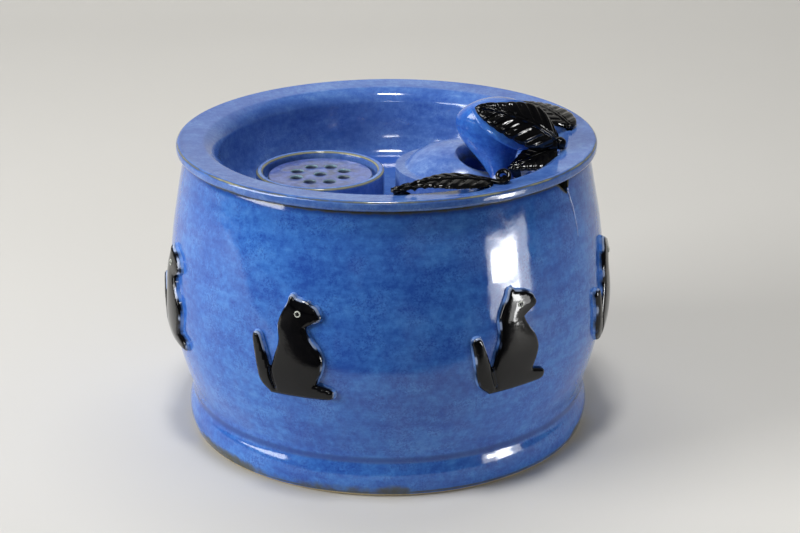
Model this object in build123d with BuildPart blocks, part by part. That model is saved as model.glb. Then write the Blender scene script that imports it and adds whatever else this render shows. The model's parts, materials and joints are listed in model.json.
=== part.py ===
from build123d import *
from math import cos, radians, sin, sqrt
import os

# Ceramic pet water fountain: a bellied reservoir pot, a drinking basin that rests on its lip,
# and a small submersible pump that feeds an outlet in the basin. Millimetres, +Z up,
# origin on the ground at the middle of the pot's foot, +X from the drain towards the outlet.

# ---- reservoir pot ----
# the flange's radius is the fountain's main size: the pot and the basin follow it
flange_radius = 125.0
flange_overhang = 4.6
pot_height = 172.5
pot_wall = 6.5
pot_floor = 8.0
foot_bead_step = 2.7
foot_ring_width = 10.0
foot_recess = 3.0
foot_bead_swell = 4.2
foot_bead_rise = 9.5
waist_step = 0.6
waist_rise = 22.0
belly_swell = 12.2
belly_rise = 84.0
pot_floor_corner = 12.0
pot_lip_round = 1.6
notch_angle = 55.0
notch_width = 13.0
notch_depth = 8.5

# ---- drinking basin ----
flange_width = 24.0
flange_thickness = 6.2
flange_fall = 2.0
flange_edge_round = 2.2
basin_lip_round = 4.0
basin_depth = 42.7
basin_slope = 17.0
basin_wall = 6.5
basin_floor = 6.5
locating_ring_clearance = 1.7
locating_ring_depth = 5.0
locating_ring_gap = 18.0

# ---- drain collar and strainer ----
collar_wall_gap = 5.4
collar_mound_gap = 6.4
collar_height = 21.0
collar_wall = 4.4
collar_recess = 9.0
collar_ledge = 6.7
collar_edge_round = 1.8
strainer_play = 2.8
strainer_thickness = 5.6
strainer_edge_round = 1.2
strainer_hole_radius = 3.4
strainer_circle_share = 0.487
strainer_hole_count = 8

# ---- splash mound with the outlet well ----
mound_radius = 41.0
mound_wall_overlap = 3.0
mound_height = 36.0
mound_fullness = 2.5
mound_wall = 6.0
well_place = (0.256, -0.39)
well_radius = 11.5
well_depth = 12.0
well_wall = 4.0
well_flare = 4.0
well_flare_depth = 7.0
riser_below_well = 3.0

# ---- gourd-shaped hood over the outlet ----
hood_place = (0.517, -0.683)
hood_lean_x = -7.3
hood_lean_y = 19.4
hood_rise = 43.9
hood_neck_radius = 7.2
hood_belly_radius = 21.8
hood_belly_share = 0.75
hood_wall = 4.0
hood_root = 36.0

# ---- leaves and tendrils ----
leaf_thickness = 3.6
hood_leaf_width = 27.0
hood_leaf_bend = 42.0
back_leaf_width = 24.0
side_leaf_width = 19.0
rim_leaf_width = 18.0
flat_leaf_bend = 110.0
tendril_radius = 1.4
curl_radius = 4.3
loop_radius = 4.6
bud_radius = 4.6

# ---- sitting cats ----
cat_angles = (-73.5, -24.3, 30.3, 75.5, 128.0, 181.0, 234.0)
cat_height = 61.6
cat_relief = 4.2
cat_foot_rise = 62.8

# ---- pump ----
cup_height = 6.0
cup_radius = 8.0
cup_neck_radius = 3.6
cup_rim = 1.4
cup_hollow = 2.4
cup_stud_radius = 2.2
cup_stud_length = 1.6
cup_inset_x = 9.0
cup_inset_y = 9.5
pump_length = 45.0
pump_width = 44.0
pump_height = 48.0
pump_wall = 2.6
pump_corner = 3.5
pump_front_reach = 8.0
rotor_axis_rise = 27.0
volute_radius = 14.5
volute_depth = 12.0
volute_back_wall = 3.0
tunnel_radius = 7.6
tunnel_wall = 1.6
tunnel_length = 30.0
potting_recess = 0.5
magnet_radius = 7.0
magnet_length = 23.0
rotor_end_gap = 1.0
shaft_radius = 1.25
shaft_running_gap = 0.05
impeller_radius = 11.5
impeller_blades = 6
impeller_blade_width = 5.5
impeller_blade_thickness = 1.2
impeller_disc = 1.4
impeller_disc_gap = 1.2
impeller_hub_radius = 3.6
bush_radius = 3.2
bush_length = 3.5
bush_hub_wall = 1.8
core_length = 16.0
core_yoke = 6.0
core_leg = 5.5
core_gap = 0.3
core_pole_lip = 1.0
core_pole_rise = 6.0
coil_wrap = 2.6
coil_floor_gap = 0.6
coil_side_gap = 0.25
chamber_cover_thickness = 2.5
spigot_depth = 1.5
spigot_wall = 1.8
spigot_gap = 0.1
eye_radius = 8.5
eye_spoke = 2.0
front_cover_depth = 19.0
front_cover_wall = 1.8
front_cover_gap = 0.3
slot_width = 2.0
slot_height = 22.0
slot_pitch = 4.2
slot_count = 8
slot_middle_rise = 18.0
foam_thickness = 9.0
gate_from_top = 9.5
gate_window_width = 14.0
gate_window_height = 5.0
gate_width = 17.0
gate_height = 8.0
gate_thickness = 1.6
gate_grip = 2.2
gate_rail = 1.4
gate_rail_lip = 1.1
gate_gap = 0.3
gate_travel = 10.0
nozzle_bore_radius = 3.2
nozzle_radius = 4.5
nozzle_socket_radius = 5.4
nozzle_socket_depth = 5.0
nozzle_flange_radius = 7.4
nozzle_flange = 2.0
nozzle_stub = 13.0
nozzle_barb = 0.35
nozzle_barb_length = 2.6
nozzle_barb_count = 3
riser_bore_gap = 0.05
riser_wall = 2.0
riser_socket_gap = 0.35
gland_hole_radius = 3.6
gland_bore_radius = 2.8
gland_flange_radius = 6.2
gland_flange = 2.0
gland_boot = 9.0
gland_boot_radius = 4.8
gland_tip_radius = 3.9
gland_from_back = 8.0

# ---- heights and places that follow from the sizes above ----
pot_lip_radius = flange_radius - flange_overhang
belly_radius = pot_lip_radius + belly_swell
waist_radius = pot_lip_radius - waist_step
foot_bead_radius = waist_radius + foot_bead_swell
foot_radius = foot_bead_radius - foot_bead_step
basin_lip_radius = flange_radius - flange_width
basin_floor_radius = basin_lip_radius - basin_slope
locating_ring_radius = pot_lip_radius - pot_wall - locating_ring_clearance
mound_x = basin_floor_radius + mound_wall_overlap - mound_radius
collar_room = basin_floor_radius - collar_wall_gap + mound_x - mound_radius - collar_mound_gap
collar_radius = collar_room / 2
collar_x = collar_radius + collar_wall_gap - basin_floor_radius
collar_bore_radius = collar_radius - collar_wall
drain_radius = collar_bore_radius - collar_ledge
strainer_radius = collar_bore_radius - strainer_play
strainer_hole_circle = strainer_circle_share * strainer_radius
well_x = mound_x + well_place[0] * mound_radius
well_y = well_place[1] * mound_radius
hood_foot_x = mound_x + hood_place[0] * mound_radius
hood_foot_y = hood_place[1] * mound_radius
gate_middle_rise = pump_height - gate_from_top
seat_z = pot_height
rim_z = seat_z + flange_thickness
lip_z = rim_z - flange_fall
basin_floor_z = rim_z - basin_depth
basin_under_z = basin_floor_z - basin_floor
inner_floor_z = foot_recess + pot_floor
collar_top_z = basin_floor_z + collar_height
ledge_z = collar_top_z - collar_recess
riser_bore_radius = nozzle_radius + nozzle_barb + riser_bore_gap
riser_outer_radius = riser_bore_radius + riser_wall
riser_socket_radius = riser_outer_radius + riser_socket_gap

os.makedirs("parts", exist_ok=True)
pieces = []


def finish(part, name):
    """Label one piece and write its STEP file."""
    part.label = name
    pieces.append(part)
    export_step(part, f"parts/{name}.step")


def around(angle):
    """Unit vector at an angle counted from -Y towards +X."""
    return Vector(sin(radians(angle)), -cos(radians(angle)), 0)


# ======================= reservoir pot =======================
def pot_side(inset):
    """Points and end directions of the wall curve, moved inwards by a wall thickness."""
    points = [
        (waist_radius - inset, waist_rise),
        (belly_radius - inset, belly_rise),
        (pot_lip_radius - inset, pot_height),
    ]
    return points, [(0.34, 1), (0, 1), (-0.2, 1)]


outer_side, side_directions = pot_side(0)
inner_side, _ = pot_side(pot_wall)
foot_inner_radius = foot_radius - foot_ring_width
floor_corner_radius = inner_side[0][0] - pot_floor_corner

with BuildPart() as pot_form:
    with BuildSketch(Plane.XZ):
        with BuildLine():
            foot_line = Line((0, 0), (foot_radius, 0))
            bead = ThreePointArc(foot_line @ 1, (foot_bead_radius, foot_bead_rise), outer_side[0])
            side = Spline(outer_side, tangents=side_directions)
            lip_line = Line(side @ 1, (0, pot_height))
            Line(lip_line @ 1, (0, 0))
        make_face()
    revolve(axis=Axis.Z)

with BuildPart() as reservoir_pot:
    add(pot_form.part)
    with BuildSketch(Plane.XZ):
        with BuildLine():
            floor_line = Line((0, inner_floor_z), (floor_corner_radius, inner_floor_z))
            corner = Spline(
                [floor_line @ 1, inner_side[0]],
                tangents=[(1, 0), side_directions[0]],
            )
            side = Spline(inner_side, tangents=side_directions)
            top_line = Line(side @ 1, (0, pot_height))
            Line(top_line @ 1, (0, inner_floor_z))
        make_face()
    revolve(axis=Axis.Z, mode=Mode.SUBTRACT)
    with BuildSketch(Plane.XY):
        Circle(foot_inner_radius)
    extrude(amount=foot_recess, mode=Mode.SUBTRACT)
    lip_edges = reservoir_pot.edges().filter_by(GeomType.CIRCLE).group_by(Axis.Z)[-1]
    fillet(lip_edges, pot_lip_round)
    # cord notch cut down from the lip
    notch_out = around(notch_angle)
    notch_plane = Plane(
        origin=notch_out * (pot_lip_radius - 2 * pot_wall) + Vector(0, 0, pot_height),
        x_dir=Vector(0, 0, 1).cross(notch_out),
        z_dir=notch_out,
    )
    with BuildSketch(notch_plane):
        with BuildLine():
            Polyline(
                (-notch_width / 2, 0),
                (0.2 * notch_width, -notch_depth),
                (0.36 * notch_width, -0.8 * notch_depth),
                (notch_width / 2, 0),
                (-notch_width / 2, 0),
            )
        make_face()
    extrude(amount=4 * pot_wall, mode=Mode.SUBTRACT)

finish(reservoir_pot.part, "reservoir_pot")

# ======================= sitting cats =======================
# Outline of a sitting cat that looks to the right, from the bottom left, x across, y up.
def cat_points(*places):
    """Outline places of a 61.6 mm cat, taken to this cat's height."""
    return [(x * cat_height / 61.6, y * cat_height / 61.6) for x, y in places]


with BuildPart() as cat_band:
    with BuildSketch(Plane.XZ):
        with BuildLine():
            face_side = Spline(
                [(radius + cat_relief, height) for radius, height in outer_side],
                tangents=side_directions,
            )
            top_line = Line(face_side @ 1, (0, pot_height))
            axis_line = Line(top_line @ 1, (0, waist_rise))
            Line(axis_line @ 1, face_side @ 0)
        make_face()
    revolve(axis=Axis.Z)

cat_plane = Plane(
    origin=(0, -(belly_radius - 3 * pot_wall), cat_foot_rise),
    x_dir=(1, 0, 0),
    z_dir=(0, -1, 0),
)
with BuildPart() as cat_relief_form:
    with BuildSketch(cat_plane):
        with BuildLine():
            rump = Spline(cat_points((-11.8, 0.5), (-18.5, 7.1), (-20.8, 17.8), (-22.9, 32.6)))
            tail_tip = ThreePointArc(rump @ 1, *cat_points((-20.2, 36.6), (-16.9, 34.4)))
            tail_inside = Spline(tail_tip @ 1, *cat_points((-14.2, 26.0), (-11.2, 16.0)))
            back = Spline(
                tail_inside @ 1,
                *cat_points((-8.4, 25.0), (-5.8, 34.0), (-6.2, 44.5), (-0.4, 57.6)),
            )
            ear = ThreePointArc(back @ 1, *cat_points((2.2, 61.6), (4.6, 59.9)))
            brow = Spline(ear @ 1, *cat_points((10.5, 58.4), (16.6, 55.6), (19.1, 51.4)))
            nose = ThreePointArc(brow @ 1, *cat_points((18.4, 48.0), (15.6, 46.6)))
            chin = Line(nose @ 1, *cat_points((10.4, 43.6)))
            chest = Spline(
                chin @ 1,
                *cat_points((12.2, 39.6), (18.4, 30.8), (20.6, 22.5), (16.6, 10.4)),
            )
            paw_top = Line(chest @ 1, *cat_points((23.6, 8.2)))
            paw = ThreePointArc(paw_top @ 1, *cat_points((26.4, 4.6), (22.6, 1.2)))
            Line(paw @ 1, rump @ 0)
        make_face()
    extrude(amount=6 * pot_wall)
    add(cat_band.part, mode=Mode.INTERSECT)
    add(pot_form.part, mode=Mode.SUBTRACT)

cat_blank = cat_relief_form.part
for number, cat_angle in enumerate(cat_angles, start=1):
    finish(cat_blank.rotate(Axis.Z, cat_angle), f"sitting_cat_{number}")

# ======================= drinking basin =======================
with BuildPart() as basin_form:
    with BuildSketch(Plane.XZ) as basin_profile:
        with BuildLine():
            under_line = Line((0, basin_under_z), (basin_floor_radius + 4, basin_under_z))
            under_wall = Spline(
                [under_line @ 1, (basin_lip_radius + basin_wall - 1, seat_z - locating_ring_depth)],
                tangents=[(1, 0.15), (0.12, 1)],
            )
            Polyline(
                under_wall @ 1,
                (locating_ring_radius, seat_z - locating_ring_depth),
                (locating_ring_radius, seat_z),
                (flange_radius, seat_z),
                (flange_radius, rim_z),
                (basin_lip_radius, lip_z),
            )
            inner_wall = Spline(
                [(basin_lip_radius, lip_z), (basin_floor_radius, basin_floor_z)],
                tangents=[(-0.12, -1), (-1, -0.1)],
            )
            Polyline(inner_wall @ 1, (0, basin_floor_z), (0, basin_under_z))
        make_face()
        outer_corners = basin_profile.vertices().group_by(Axis.X)[-1]
        fillet(outer_corners, flange_edge_round)
        lip_corner = basin_profile.vertices().sort_by_distance((basin_lip_radius, lip_z))[0]
        fillet(lip_corner, basin_lip_round)
    revolve(axis=Axis.Z)

with BuildPart() as drinking_basin:
    add(basin_form.part)
    with BuildSketch(Plane.XY.offset(basin_under_z)):
        with Locations((collar_x, 0)):
            Circle(drain_radius)
        with Locations((well_x, well_y)):
            Circle(riser_socket_radius)
    extrude(amount=basin_floor, mode=Mode.SUBTRACT)
    # gap in the locating ring where the cord comes up to the pot's notch
    with BuildSketch(Plane.XY.offset(seat_z)):
        with Locations(Location(around(notch_angle) * locating_ring_radius, (0, 0, notch_angle - 90))):
            Rectangle(2 * (locating_ring_radius - basin_lip_radius - basin_wall), locating_ring_gap)
    extrude(amount=-locating_ring_depth, mode=Mode.SUBTRACT)

finish(drinking_basin.part, "drinking_basin")

# ======================= drain collar and strainer =======================
with BuildPart() as drain_collar:
    with BuildSketch(Plane.XY.offset(basin_floor_z)):
        with Locations((collar_x, 0)):
            Circle(collar_radius)
            Circle(drain_radius, mode=Mode.SUBTRACT)
    extrude(amount=collar_height)
    with BuildSketch(Plane.XY.offset(ledge_z)):
        with Locations((collar_x, 0)):
            Circle(collar_bore_radius)
    extrude(amount=collar_recess, mode=Mode.SUBTRACT)
    fillet(drain_collar.edges().group_by(Axis.Z)[-1], collar_edge_round)

finish(drain_collar.part, "drain_collar")

with BuildPart() as strainer_disc:
    with BuildSketch(Plane.XY.offset(ledge_z)):
        with Locations((collar_x, 0)):
            Circle(strainer_radius)
    extrude(amount=strainer_thickness)
    fillet(strainer_disc.edges().group_by(Axis.Z)[-1], strainer_edge_round)
    with BuildSketch(Plane.XY.offset(ledge_z)):
        with Locations((collar_x, 0)):
            Circle(strainer_hole_radius)
            with PolarLocations(strainer_hole_circle, strainer_hole_count, start_angle=22.5):
                Circle(strainer_hole_radius)
    extrude(amount=strainer_thickness, mode=Mode.SUBTRACT)

finish(strainer_disc.part, "strainer_disc")


# ======================= splash mound =======================
def mound_rise(distance, radius, height):
    """Height of a full, stone-like dome at a distance from its axis."""
    share = min(1.0, distance / radius) ** mound_fullness
    return height * (1 - share) ** (1 / mound_fullness)


def mound_surface(x, y):
    """Level of the mound's outside over a point of the basin floor."""
    distance = sqrt((x - mound_x) ** 2 + y**2)
    return basin_floor_z + mound_rise(distance, mound_radius, mound_height)


def mound_side(radius, height):
    """Points of half the dome, evenly spread from the base to the crown."""
    points = [(radius, 0)]
    for step in range(1, 9):
        distance = radius * cos(radians(10 * step)) ** (2 / mound_fullness)
        points.append((distance, mound_rise(distance, radius, height)))
    return points + [(0, height)]


well_lip_z = mound_surface(well_x, well_y)
well_floor_z = well_lip_z - well_depth
mound_plane = Plane(origin=(mound_x, 0, basin_floor_z), x_dir=(1, 0, 0), z_dir=(0, -1, 0))
mound_axis = Axis((mound_x, 0, 0), (0, 0, 1))

with BuildPart() as mound_form:
    with BuildSketch(mound_plane):
        with BuildLine():
            dome = Spline(mound_side(mound_radius, mound_height), tangents=[(0, 1), (-1, 0)])
            Polyline(dome @ 1, (0, 0), dome @ 0)
        make_face()
    revolve(axis=mound_axis)
    add(basin_form.part, mode=Mode.SUBTRACT)

# space under the dome, which leaves a standing pipe round the well
with BuildPart() as mound_hollow:
    with BuildSketch(mound_plane):
        with BuildLine():
            inside = mound_side(mound_radius - mound_wall, mound_height - mound_wall)
            dome = Spline(inside, tangents=[(0, 1), (-1, 0)])
            Polyline(dome @ 1, (0, 0), dome @ 0)
        make_face()
    revolve(axis=mound_axis)
    with BuildSketch(Plane.XY.offset(basin_floor_z)):
        with Locations((well_x, well_y)):
            Circle(well_radius + well_wall)
    extrude(amount=mound_height, mode=Mode.SUBTRACT)

with BuildPart() as splash_mound:
    add(mound_form.part)
    add(mound_hollow.part, mode=Mode.SUBTRACT)
    with BuildSketch(Plane.XY.offset(basin_floor_z)):
        with Locations((well_x, well_y)):
            Circle(riser_socket_radius)
    extrude(amount=well_floor_z - basin_floor_z, mode=Mode.SUBTRACT)
    # the well: a round bore that flares out to a funnel at the mound's surface
    with BuildSketch(Plane(origin=(well_x, well_y, well_lip_z), x_dir=(1, 0, 0), z_dir=(0, -1, 0))):
        with BuildLine():
            well_side = Polyline(
                (0, -well_depth),
                (well_radius, -well_depth),
                (well_radius, -well_flare_depth),
            )
            flare = Spline(
                [well_side @ 1, (well_radius + well_flare, 0)],
                tangents=[(0, 1), (1, 0.35)],
            )
            Polyline(
                flare @ 1,
                (well_radius + well_flare, well_flare_depth),
                (0, well_flare_depth),
                (0, -well_depth),
            )
        make_face()
    revolve(axis=Axis((well_x, well_y, 0), (0, 0, 1)), mode=Mode.SUBTRACT)

finish(splash_mound.part, "splash_mound")

# ======================= gourd-shaped hood =======================
hood_axis_dir = Vector(hood_lean_x, hood_lean_y, hood_rise)
hood_length = hood_axis_dir.length
hood_foot = Vector(hood_foot_x, hood_foot_y, mound_surface(hood_foot_x, hood_foot_y))
hood_belly_at = hood_belly_share * hood_length
hood_frame = Plane(origin=hood_foot, x_dir=(1, 0, 0), z_dir=hood_axis_dir)


def hood_sketch_plane():
    """Plane that holds the gourd's axis as its local y direction."""
    across = hood_frame.x_dir
    return Plane(origin=hood_foot, x_dir=across, z_dir=across.cross(hood_frame.z_dir))


def revolve_hood(inset, low, mode):
    """Turn the gourd outline about its leaning axis, with a stalk down to the basin's floor."""
    neck = hood_neck_radius - inset
    with BuildSketch(hood_sketch_plane()) as outline:
        with BuildLine():
            stalk = Line((neck, -low), (neck, 0))
            half = Spline(
                [stalk @ 1, (hood_belly_radius - inset, hood_belly_at), (0, hood_length - inset)],
                tangents=[(0, 1), (0, 1), (-1, 0)],
            )
            Polyline(half @ 1, (0, -low), stalk @ 0)
        make_face()
    revolve(outline.sketch, axis=Axis(hood_foot, hood_axis_dir), mode=mode)


with BuildPart() as hood_form:
    revolve_hood(0, hood_root, Mode.ADD)

with BuildPart() as outlet_hood:
    add(hood_form.part)
    revolve_hood(hood_wall, hood_root + hood_wall, Mode.SUBTRACT)
    add(mound_form.part, mode=Mode.SUBTRACT)
    add(basin_form.part, mode=Mode.SUBTRACT)

finish(outlet_hood.part.solids().sort_by(SortBy.VOLUME)[-1], "outlet_hood")


# ======================= leaves =======================
def leaf_blank(base, tip, rise, width, bend):
    """A leaf blade on a spherical bend, from its stem end to its tip."""
    base = Vector(base)
    tip = Vector(tip)
    span = tip - base
    up = span.cross(Vector(rise)).cross(span)
    seat = Plane(origin=base, x_dir=span, z_dir=up)
    length = span.length
    sagitta = bend - sqrt(bend**2 - (length / 2) ** 2)
    with BuildPart() as shell:
        with Locations(seat.from_local_coords(Vector(length / 2, 0, sagitta - bend))):
            Sphere(bend + leaf_thickness)
            Sphere(bend, mode=Mode.SUBTRACT)
    with BuildPart() as blade:
        with BuildSketch(seat):
            with BuildLine():
                Spline((0, 0), (0.36 * length, width / 2), (length, 0), tangents=[(0.25, 1), (1, -0.55)])
                Spline((0, 0), (0.36 * length, -width / 2), (length, 0), tangents=[(0.25, -1), (1, 0.55)])
            make_face()
        extrude(amount=0.7 * bend, both=True)
        add(shell.part, mode=Mode.INTERSECT)
    return blade.part


def by_lip(share, angle, rise):
    """A place near the basin's lip: share of its radius, angle from +X, rise in leaf thicknesses."""
    reach = share * basin_lip_radius
    height = rim_z + rise * leaf_thickness
    return Vector(reach * cos(radians(angle)), reach * sin(radians(angle)), height)


# places of the leaf ends, over the flange and over the hood
hood_middle = hood_foot + hood_axis_dir.normalized() * hood_belly_at
hood_leaf_base = by_lip(1.004, -14.86, 0.56)
hood_leaf_tip = hood_middle + Vector(-0.5275, -0.665, 0.459) * hood_belly_radius
back_leaf_base = by_lip(1.102, 4.12, -0.44)
back_leaf_tip = by_lip(1.022, 35.54, -0.28)
side_leaf_base = by_lip(1.024, -16.86, -0.83)
side_leaf_tip = by_lip(0.808, -30.96, -3.06)
rim_leaf_base = by_lip(1.093, -58.9, -0.39)
rim_leaf_tip = by_lip(1.079, -88.95, -0.39)

leaf_sizes = {
    "hood_leaf": (hood_leaf_base, hood_leaf_tip, (0.1, -0.85, 0.7), hood_leaf_width, hood_leaf_bend),
    "back_leaf": (back_leaf_base, back_leaf_tip, (0, 0, 1), back_leaf_width, flat_leaf_bend),
    "side_leaf": (side_leaf_base, side_leaf_tip, (-0.5, -0.3, 1), side_leaf_width, flat_leaf_bend),
    "rim_leaf": (rim_leaf_base, rim_leaf_tip, (0, 0.06, 1), rim_leaf_width, flat_leaf_bend),
}
leaf_parts = {}
for leaf_name, leaf_size in leaf_sizes.items():
    blank = leaf_blank(*leaf_size)
    with BuildPart() as leaf:
        add(blank)
        add(hood_form.part, mode=Mode.SUBTRACT)
        add(basin_form.part, mode=Mode.SUBTRACT)
        add(mound_form.part, mode=Mode.SUBTRACT)
        for earlier_leaf in leaf_parts.values():
            add(earlier_leaf, mode=Mode.SUBTRACT)
    leaf_parts[leaf_name] = leaf.part.solids().sort_by(SortBy.VOLUME)[-1]
    finish(leaf_parts[leaf_name], leaf_name)

# ======================= tendrils and bud =======================
# Curl that stands on the flange beside the rim leaf: two half turns that tighten inwards.
curl_middle = by_lip(1.0865, -54.64, -0.5) + Vector(0, 0, curl_radius)
curl_plane = Plane(origin=curl_middle, x_dir=(0.85, -0.45, -0.1), z_dir=(-0.25, -0.6, 0.75))
curl_pitch = 1.05 * tendril_radius

with BuildPart() as front_tendril:
    with BuildLine(curl_plane):
        stem = Line((-3.1 * curl_radius, -curl_radius), (0, -curl_radius))
        first_turn = ThreePointArc(stem @ 1, (curl_radius, 0), (0, curl_radius))
        second_turn = ThreePointArc(
            first_turn @ 1,
            (-curl_radius + curl_pitch, curl_pitch),
            (0, -curl_radius + 2 * curl_pitch),
        )
    with BuildSketch(Plane(origin=stem @ 0, z_dir=stem % 0)):
        Circle(tendril_radius)
    sweep()
    with Locations(second_turn @ 1):
        Sphere(1.15 * tendril_radius)
    add(basin_form.part, mode=Mode.SUBTRACT)
    add(leaf_parts["rim_leaf"], mode=Mode.SUBTRACT)

finish(front_tendril.part, "front_tendril")

# Loop that rises from the flange behind the bud.
loop_plane = Plane(origin=by_lip(0.993, -4.57, -0.28), x_dir=(0.3, 1, 0), z_dir=(0.8, -0.3, 0.5))
with BuildPart() as back_tendril:
    with BuildLine(loop_plane):
        loop = CenterArc((0, loop_radius * 0.5), loop_radius, -40, 250)
    with BuildSketch(Plane(origin=loop @ 0, z_dir=loop % 0)):
        Circle(0.8 * tendril_radius)
    sweep()
    add(basin_form.part, mode=Mode.SUBTRACT)

finish(back_tendril.part, "back_tendril")

with BuildPart() as vine_bud:
    bud_middle = by_lip(0.9853, -16.34, 0.17)
    for offset, share in (((0, 0, 0), 1.0), ((1.2, 0.65, 0.11), 0.85)):
        with Locations(bud_middle + Vector(*offset) * bud_radius):
            Sphere(bud_radius * share, rotation=(90, 0, 0))
    add(basin_form.part, mode=Mode.SUBTRACT)
    for leaf_name in ("hood_leaf", "side_leaf"):
        add(leaf_parts[leaf_name], mode=Mode.SUBTRACT)

finish(vine_bud.part.solids().sort_by(SortBy.VOLUME)[-1], "vine_bud")

# ======================= pump =======================
# The pump stands on the reservoir's floor with its riser axis under the outlet well.
# Its front, with the intake, looks along -X; "reach" is counted forwards from the riser axis,
# "rise" upwards from the pump's underside.
pump_underside_z = inner_floor_z + cup_height
pump_back = pump_front_reach - pump_length
volute_back = pump_front_reach - volute_depth
cavity_front = volute_back - volute_back_wall
tunnel_back = volute_back - tunnel_length
tunnel_outer_radius = tunnel_radius + tunnel_wall
cover_plate_front = pump_front_reach + chamber_cover_thickness
bush_hub_back = cover_plate_front - chamber_cover_thickness / 2 - bush_length
rotor_back = tunnel_back + bush_length + rotor_end_gap
magnet_front = rotor_back + magnet_length
disc_back = volute_back + impeller_disc_gap
rotor_front = bush_hub_back - rotor_end_gap
gland_reach = pump_back + gland_from_back


def pump_level(rise):
    """Level plane at a rise over the pump's underside, x towards the pump's front."""
    return Plane(origin=(well_x, well_y, pump_underside_z + rise), x_dir=(-1, 0, 0), z_dir=(0, 0, 1))


def pump_face(reach):
    """Upright plane that looks out of the pump's front, y upwards from the underside."""
    return Plane(origin=(well_x - reach, well_y, pump_underside_z), x_dir=(0, -1, 0), z_dir=(-1, 0, 0))


def pump_disc(back, front, radius, mode=Mode.ADD):
    """Cylinder on the rotor axis between two reaches."""
    with BuildSketch(pump_face(back)) as disc:
        with Locations((0, rotor_axis_rise)):
            Circle(radius)
    extrude(disc.sketch, amount=front - back, mode=mode)


cup_places = [
    (reach, side * (pump_width / 2 - cup_inset_y))
    for reach in (pump_back + cup_inset_x, pump_front_reach - cup_inset_x)
    for side in (-1, 1)
]
cavity_width = pump_width - 2 * pump_wall
cavity_height = pump_height - 2 * pump_wall

with BuildPart() as pump_housing:
    with BuildSketch(pump_face(pump_back)):
        with Locations((0, pump_height / 2)):
            RectangleRounded(pump_width, pump_height, pump_corner)
    extrude(amount=pump_length)
    # motor cavity, open at the back
    with BuildSketch(pump_face(pump_back)):
        with Locations((0, pump_height / 2)):
            Rectangle(cavity_width, cavity_height)
    extrude(amount=cavity_front - pump_back, mode=Mode.SUBTRACT)
    # rotor tunnel and the chamber the impeller turns in
    pump_disc(tunnel_back - tunnel_wall, cavity_front, tunnel_outer_radius)
    pump_disc(tunnel_back, volute_back, tunnel_radius, Mode.SUBTRACT)
    pump_disc(volute_back, pump_front_reach, volute_radius, Mode.SUBTRACT)
    # outlet bore with its socket, cable hole and the holes for the cups' studs
    with BuildSketch(pump_level(rotor_axis_rise)):
        Circle(nozzle_bore_radius)
    extrude(amount=pump_height - rotor_axis_rise, mode=Mode.SUBTRACT)
    with BuildSketch(pump_level(pump_height - nozzle_socket_depth)):
        Circle(nozzle_socket_radius)
    extrude(amount=nozzle_socket_depth, mode=Mode.SUBTRACT)
    with BuildSketch(pump_level(pump_height - pump_wall)):
        with Locations((gland_reach, 0)):
            Circle(gland_hole_radius)
    extrude(amount=pump_wall, mode=Mode.SUBTRACT)
    with BuildSketch(pump_level(0)):
        with Locations(*cup_places):
            Circle(cup_stud_radius)
    extrude(amount=cup_stud_length, mode=Mode.SUBTRACT)

finish(pump_housing.part, "pump_housing")

# ---- motor: core, coil and the potting round them ----
core_reach = (rotor_back + magnet_front) / 2 - core_length / 2
pole_radius = tunnel_outer_radius + core_gap
core_width = 2 * (pole_radius + core_leg)
core_window = 2 * (pole_radius - core_pole_lip)
yoke_rise = pump_wall + coil_floor_gap + coil_wrap
core_top_rise = rotor_axis_rise + core_pole_rise

with BuildPart() as stator_core:
    with BuildSketch(pump_face(core_reach)):
        with Locations((0, (yoke_rise + core_top_rise) / 2)):
            Rectangle(core_width, core_top_rise - yoke_rise)
        with Locations((0, (yoke_rise + core_yoke + core_top_rise) / 2)):
            Rectangle(core_window, core_top_rise - yoke_rise - core_yoke, mode=Mode.SUBTRACT)
        with Locations((0, rotor_axis_rise)):
            Circle(pole_radius, mode=Mode.SUBTRACT)
    extrude(amount=core_length)

finish(stator_core.part, "stator_core")

with BuildPart() as stator_coil:
    with BuildSketch(pump_face(core_reach - coil_wrap)):
        with Locations((0, yoke_rise + core_yoke / 2)):
            RectangleRounded(core_window - 2 * coil_side_gap, core_yoke + 2 * coil_wrap, coil_wrap / 2)
    extrude(amount=core_length + 2 * coil_wrap)
    add(stator_core.part, mode=Mode.SUBTRACT)

finish(stator_coil.part, "stator_coil")

with BuildPart() as potting_compound:
    with BuildSketch(pump_face(pump_back + potting_recess)):
        with Locations((0, pump_height / 2)):
            Rectangle(cavity_width, cavity_height)
    extrude(amount=cavity_front - pump_back - potting_recess)
    pump_disc(tunnel_back - tunnel_wall, cavity_front, tunnel_outer_radius, Mode.SUBTRACT)
    add(stator_core.part, mode=Mode.SUBTRACT)
    add(stator_coil.part, mode=Mode.SUBTRACT)

finish(potting_compound.part, "potting_compound")

# ---- rotor with the impeller, its shaft and the two bushes ----
with BuildPart() as impeller_rotor:
    pump_disc(rotor_back, magnet_front, magnet_radius)
    pump_disc(magnet_front, rotor_front, impeller_hub_radius)
    pump_disc(disc_back, disc_back + impeller_disc, impeller_radius)
    with BuildSketch(pump_face(disc_back + impeller_disc)):
        with Locations((0, rotor_axis_rise)):
            with PolarLocations(0, impeller_blades):
                with Locations((impeller_radius / 2, 0)):
                    Rectangle(impeller_radius, impeller_blade_thickness)
    extrude(amount=impeller_blade_width)
    pump_disc(rotor_back, rotor_front, shaft_radius + shaft_running_gap, Mode.SUBTRACT)

finish(impeller_rotor.part, "impeller_rotor")

with BuildPart() as impeller_shaft:
    pump_disc(tunnel_back, bush_hub_back + bush_length, shaft_radius)

finish(impeller_shaft.part, "impeller_shaft")

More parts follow.
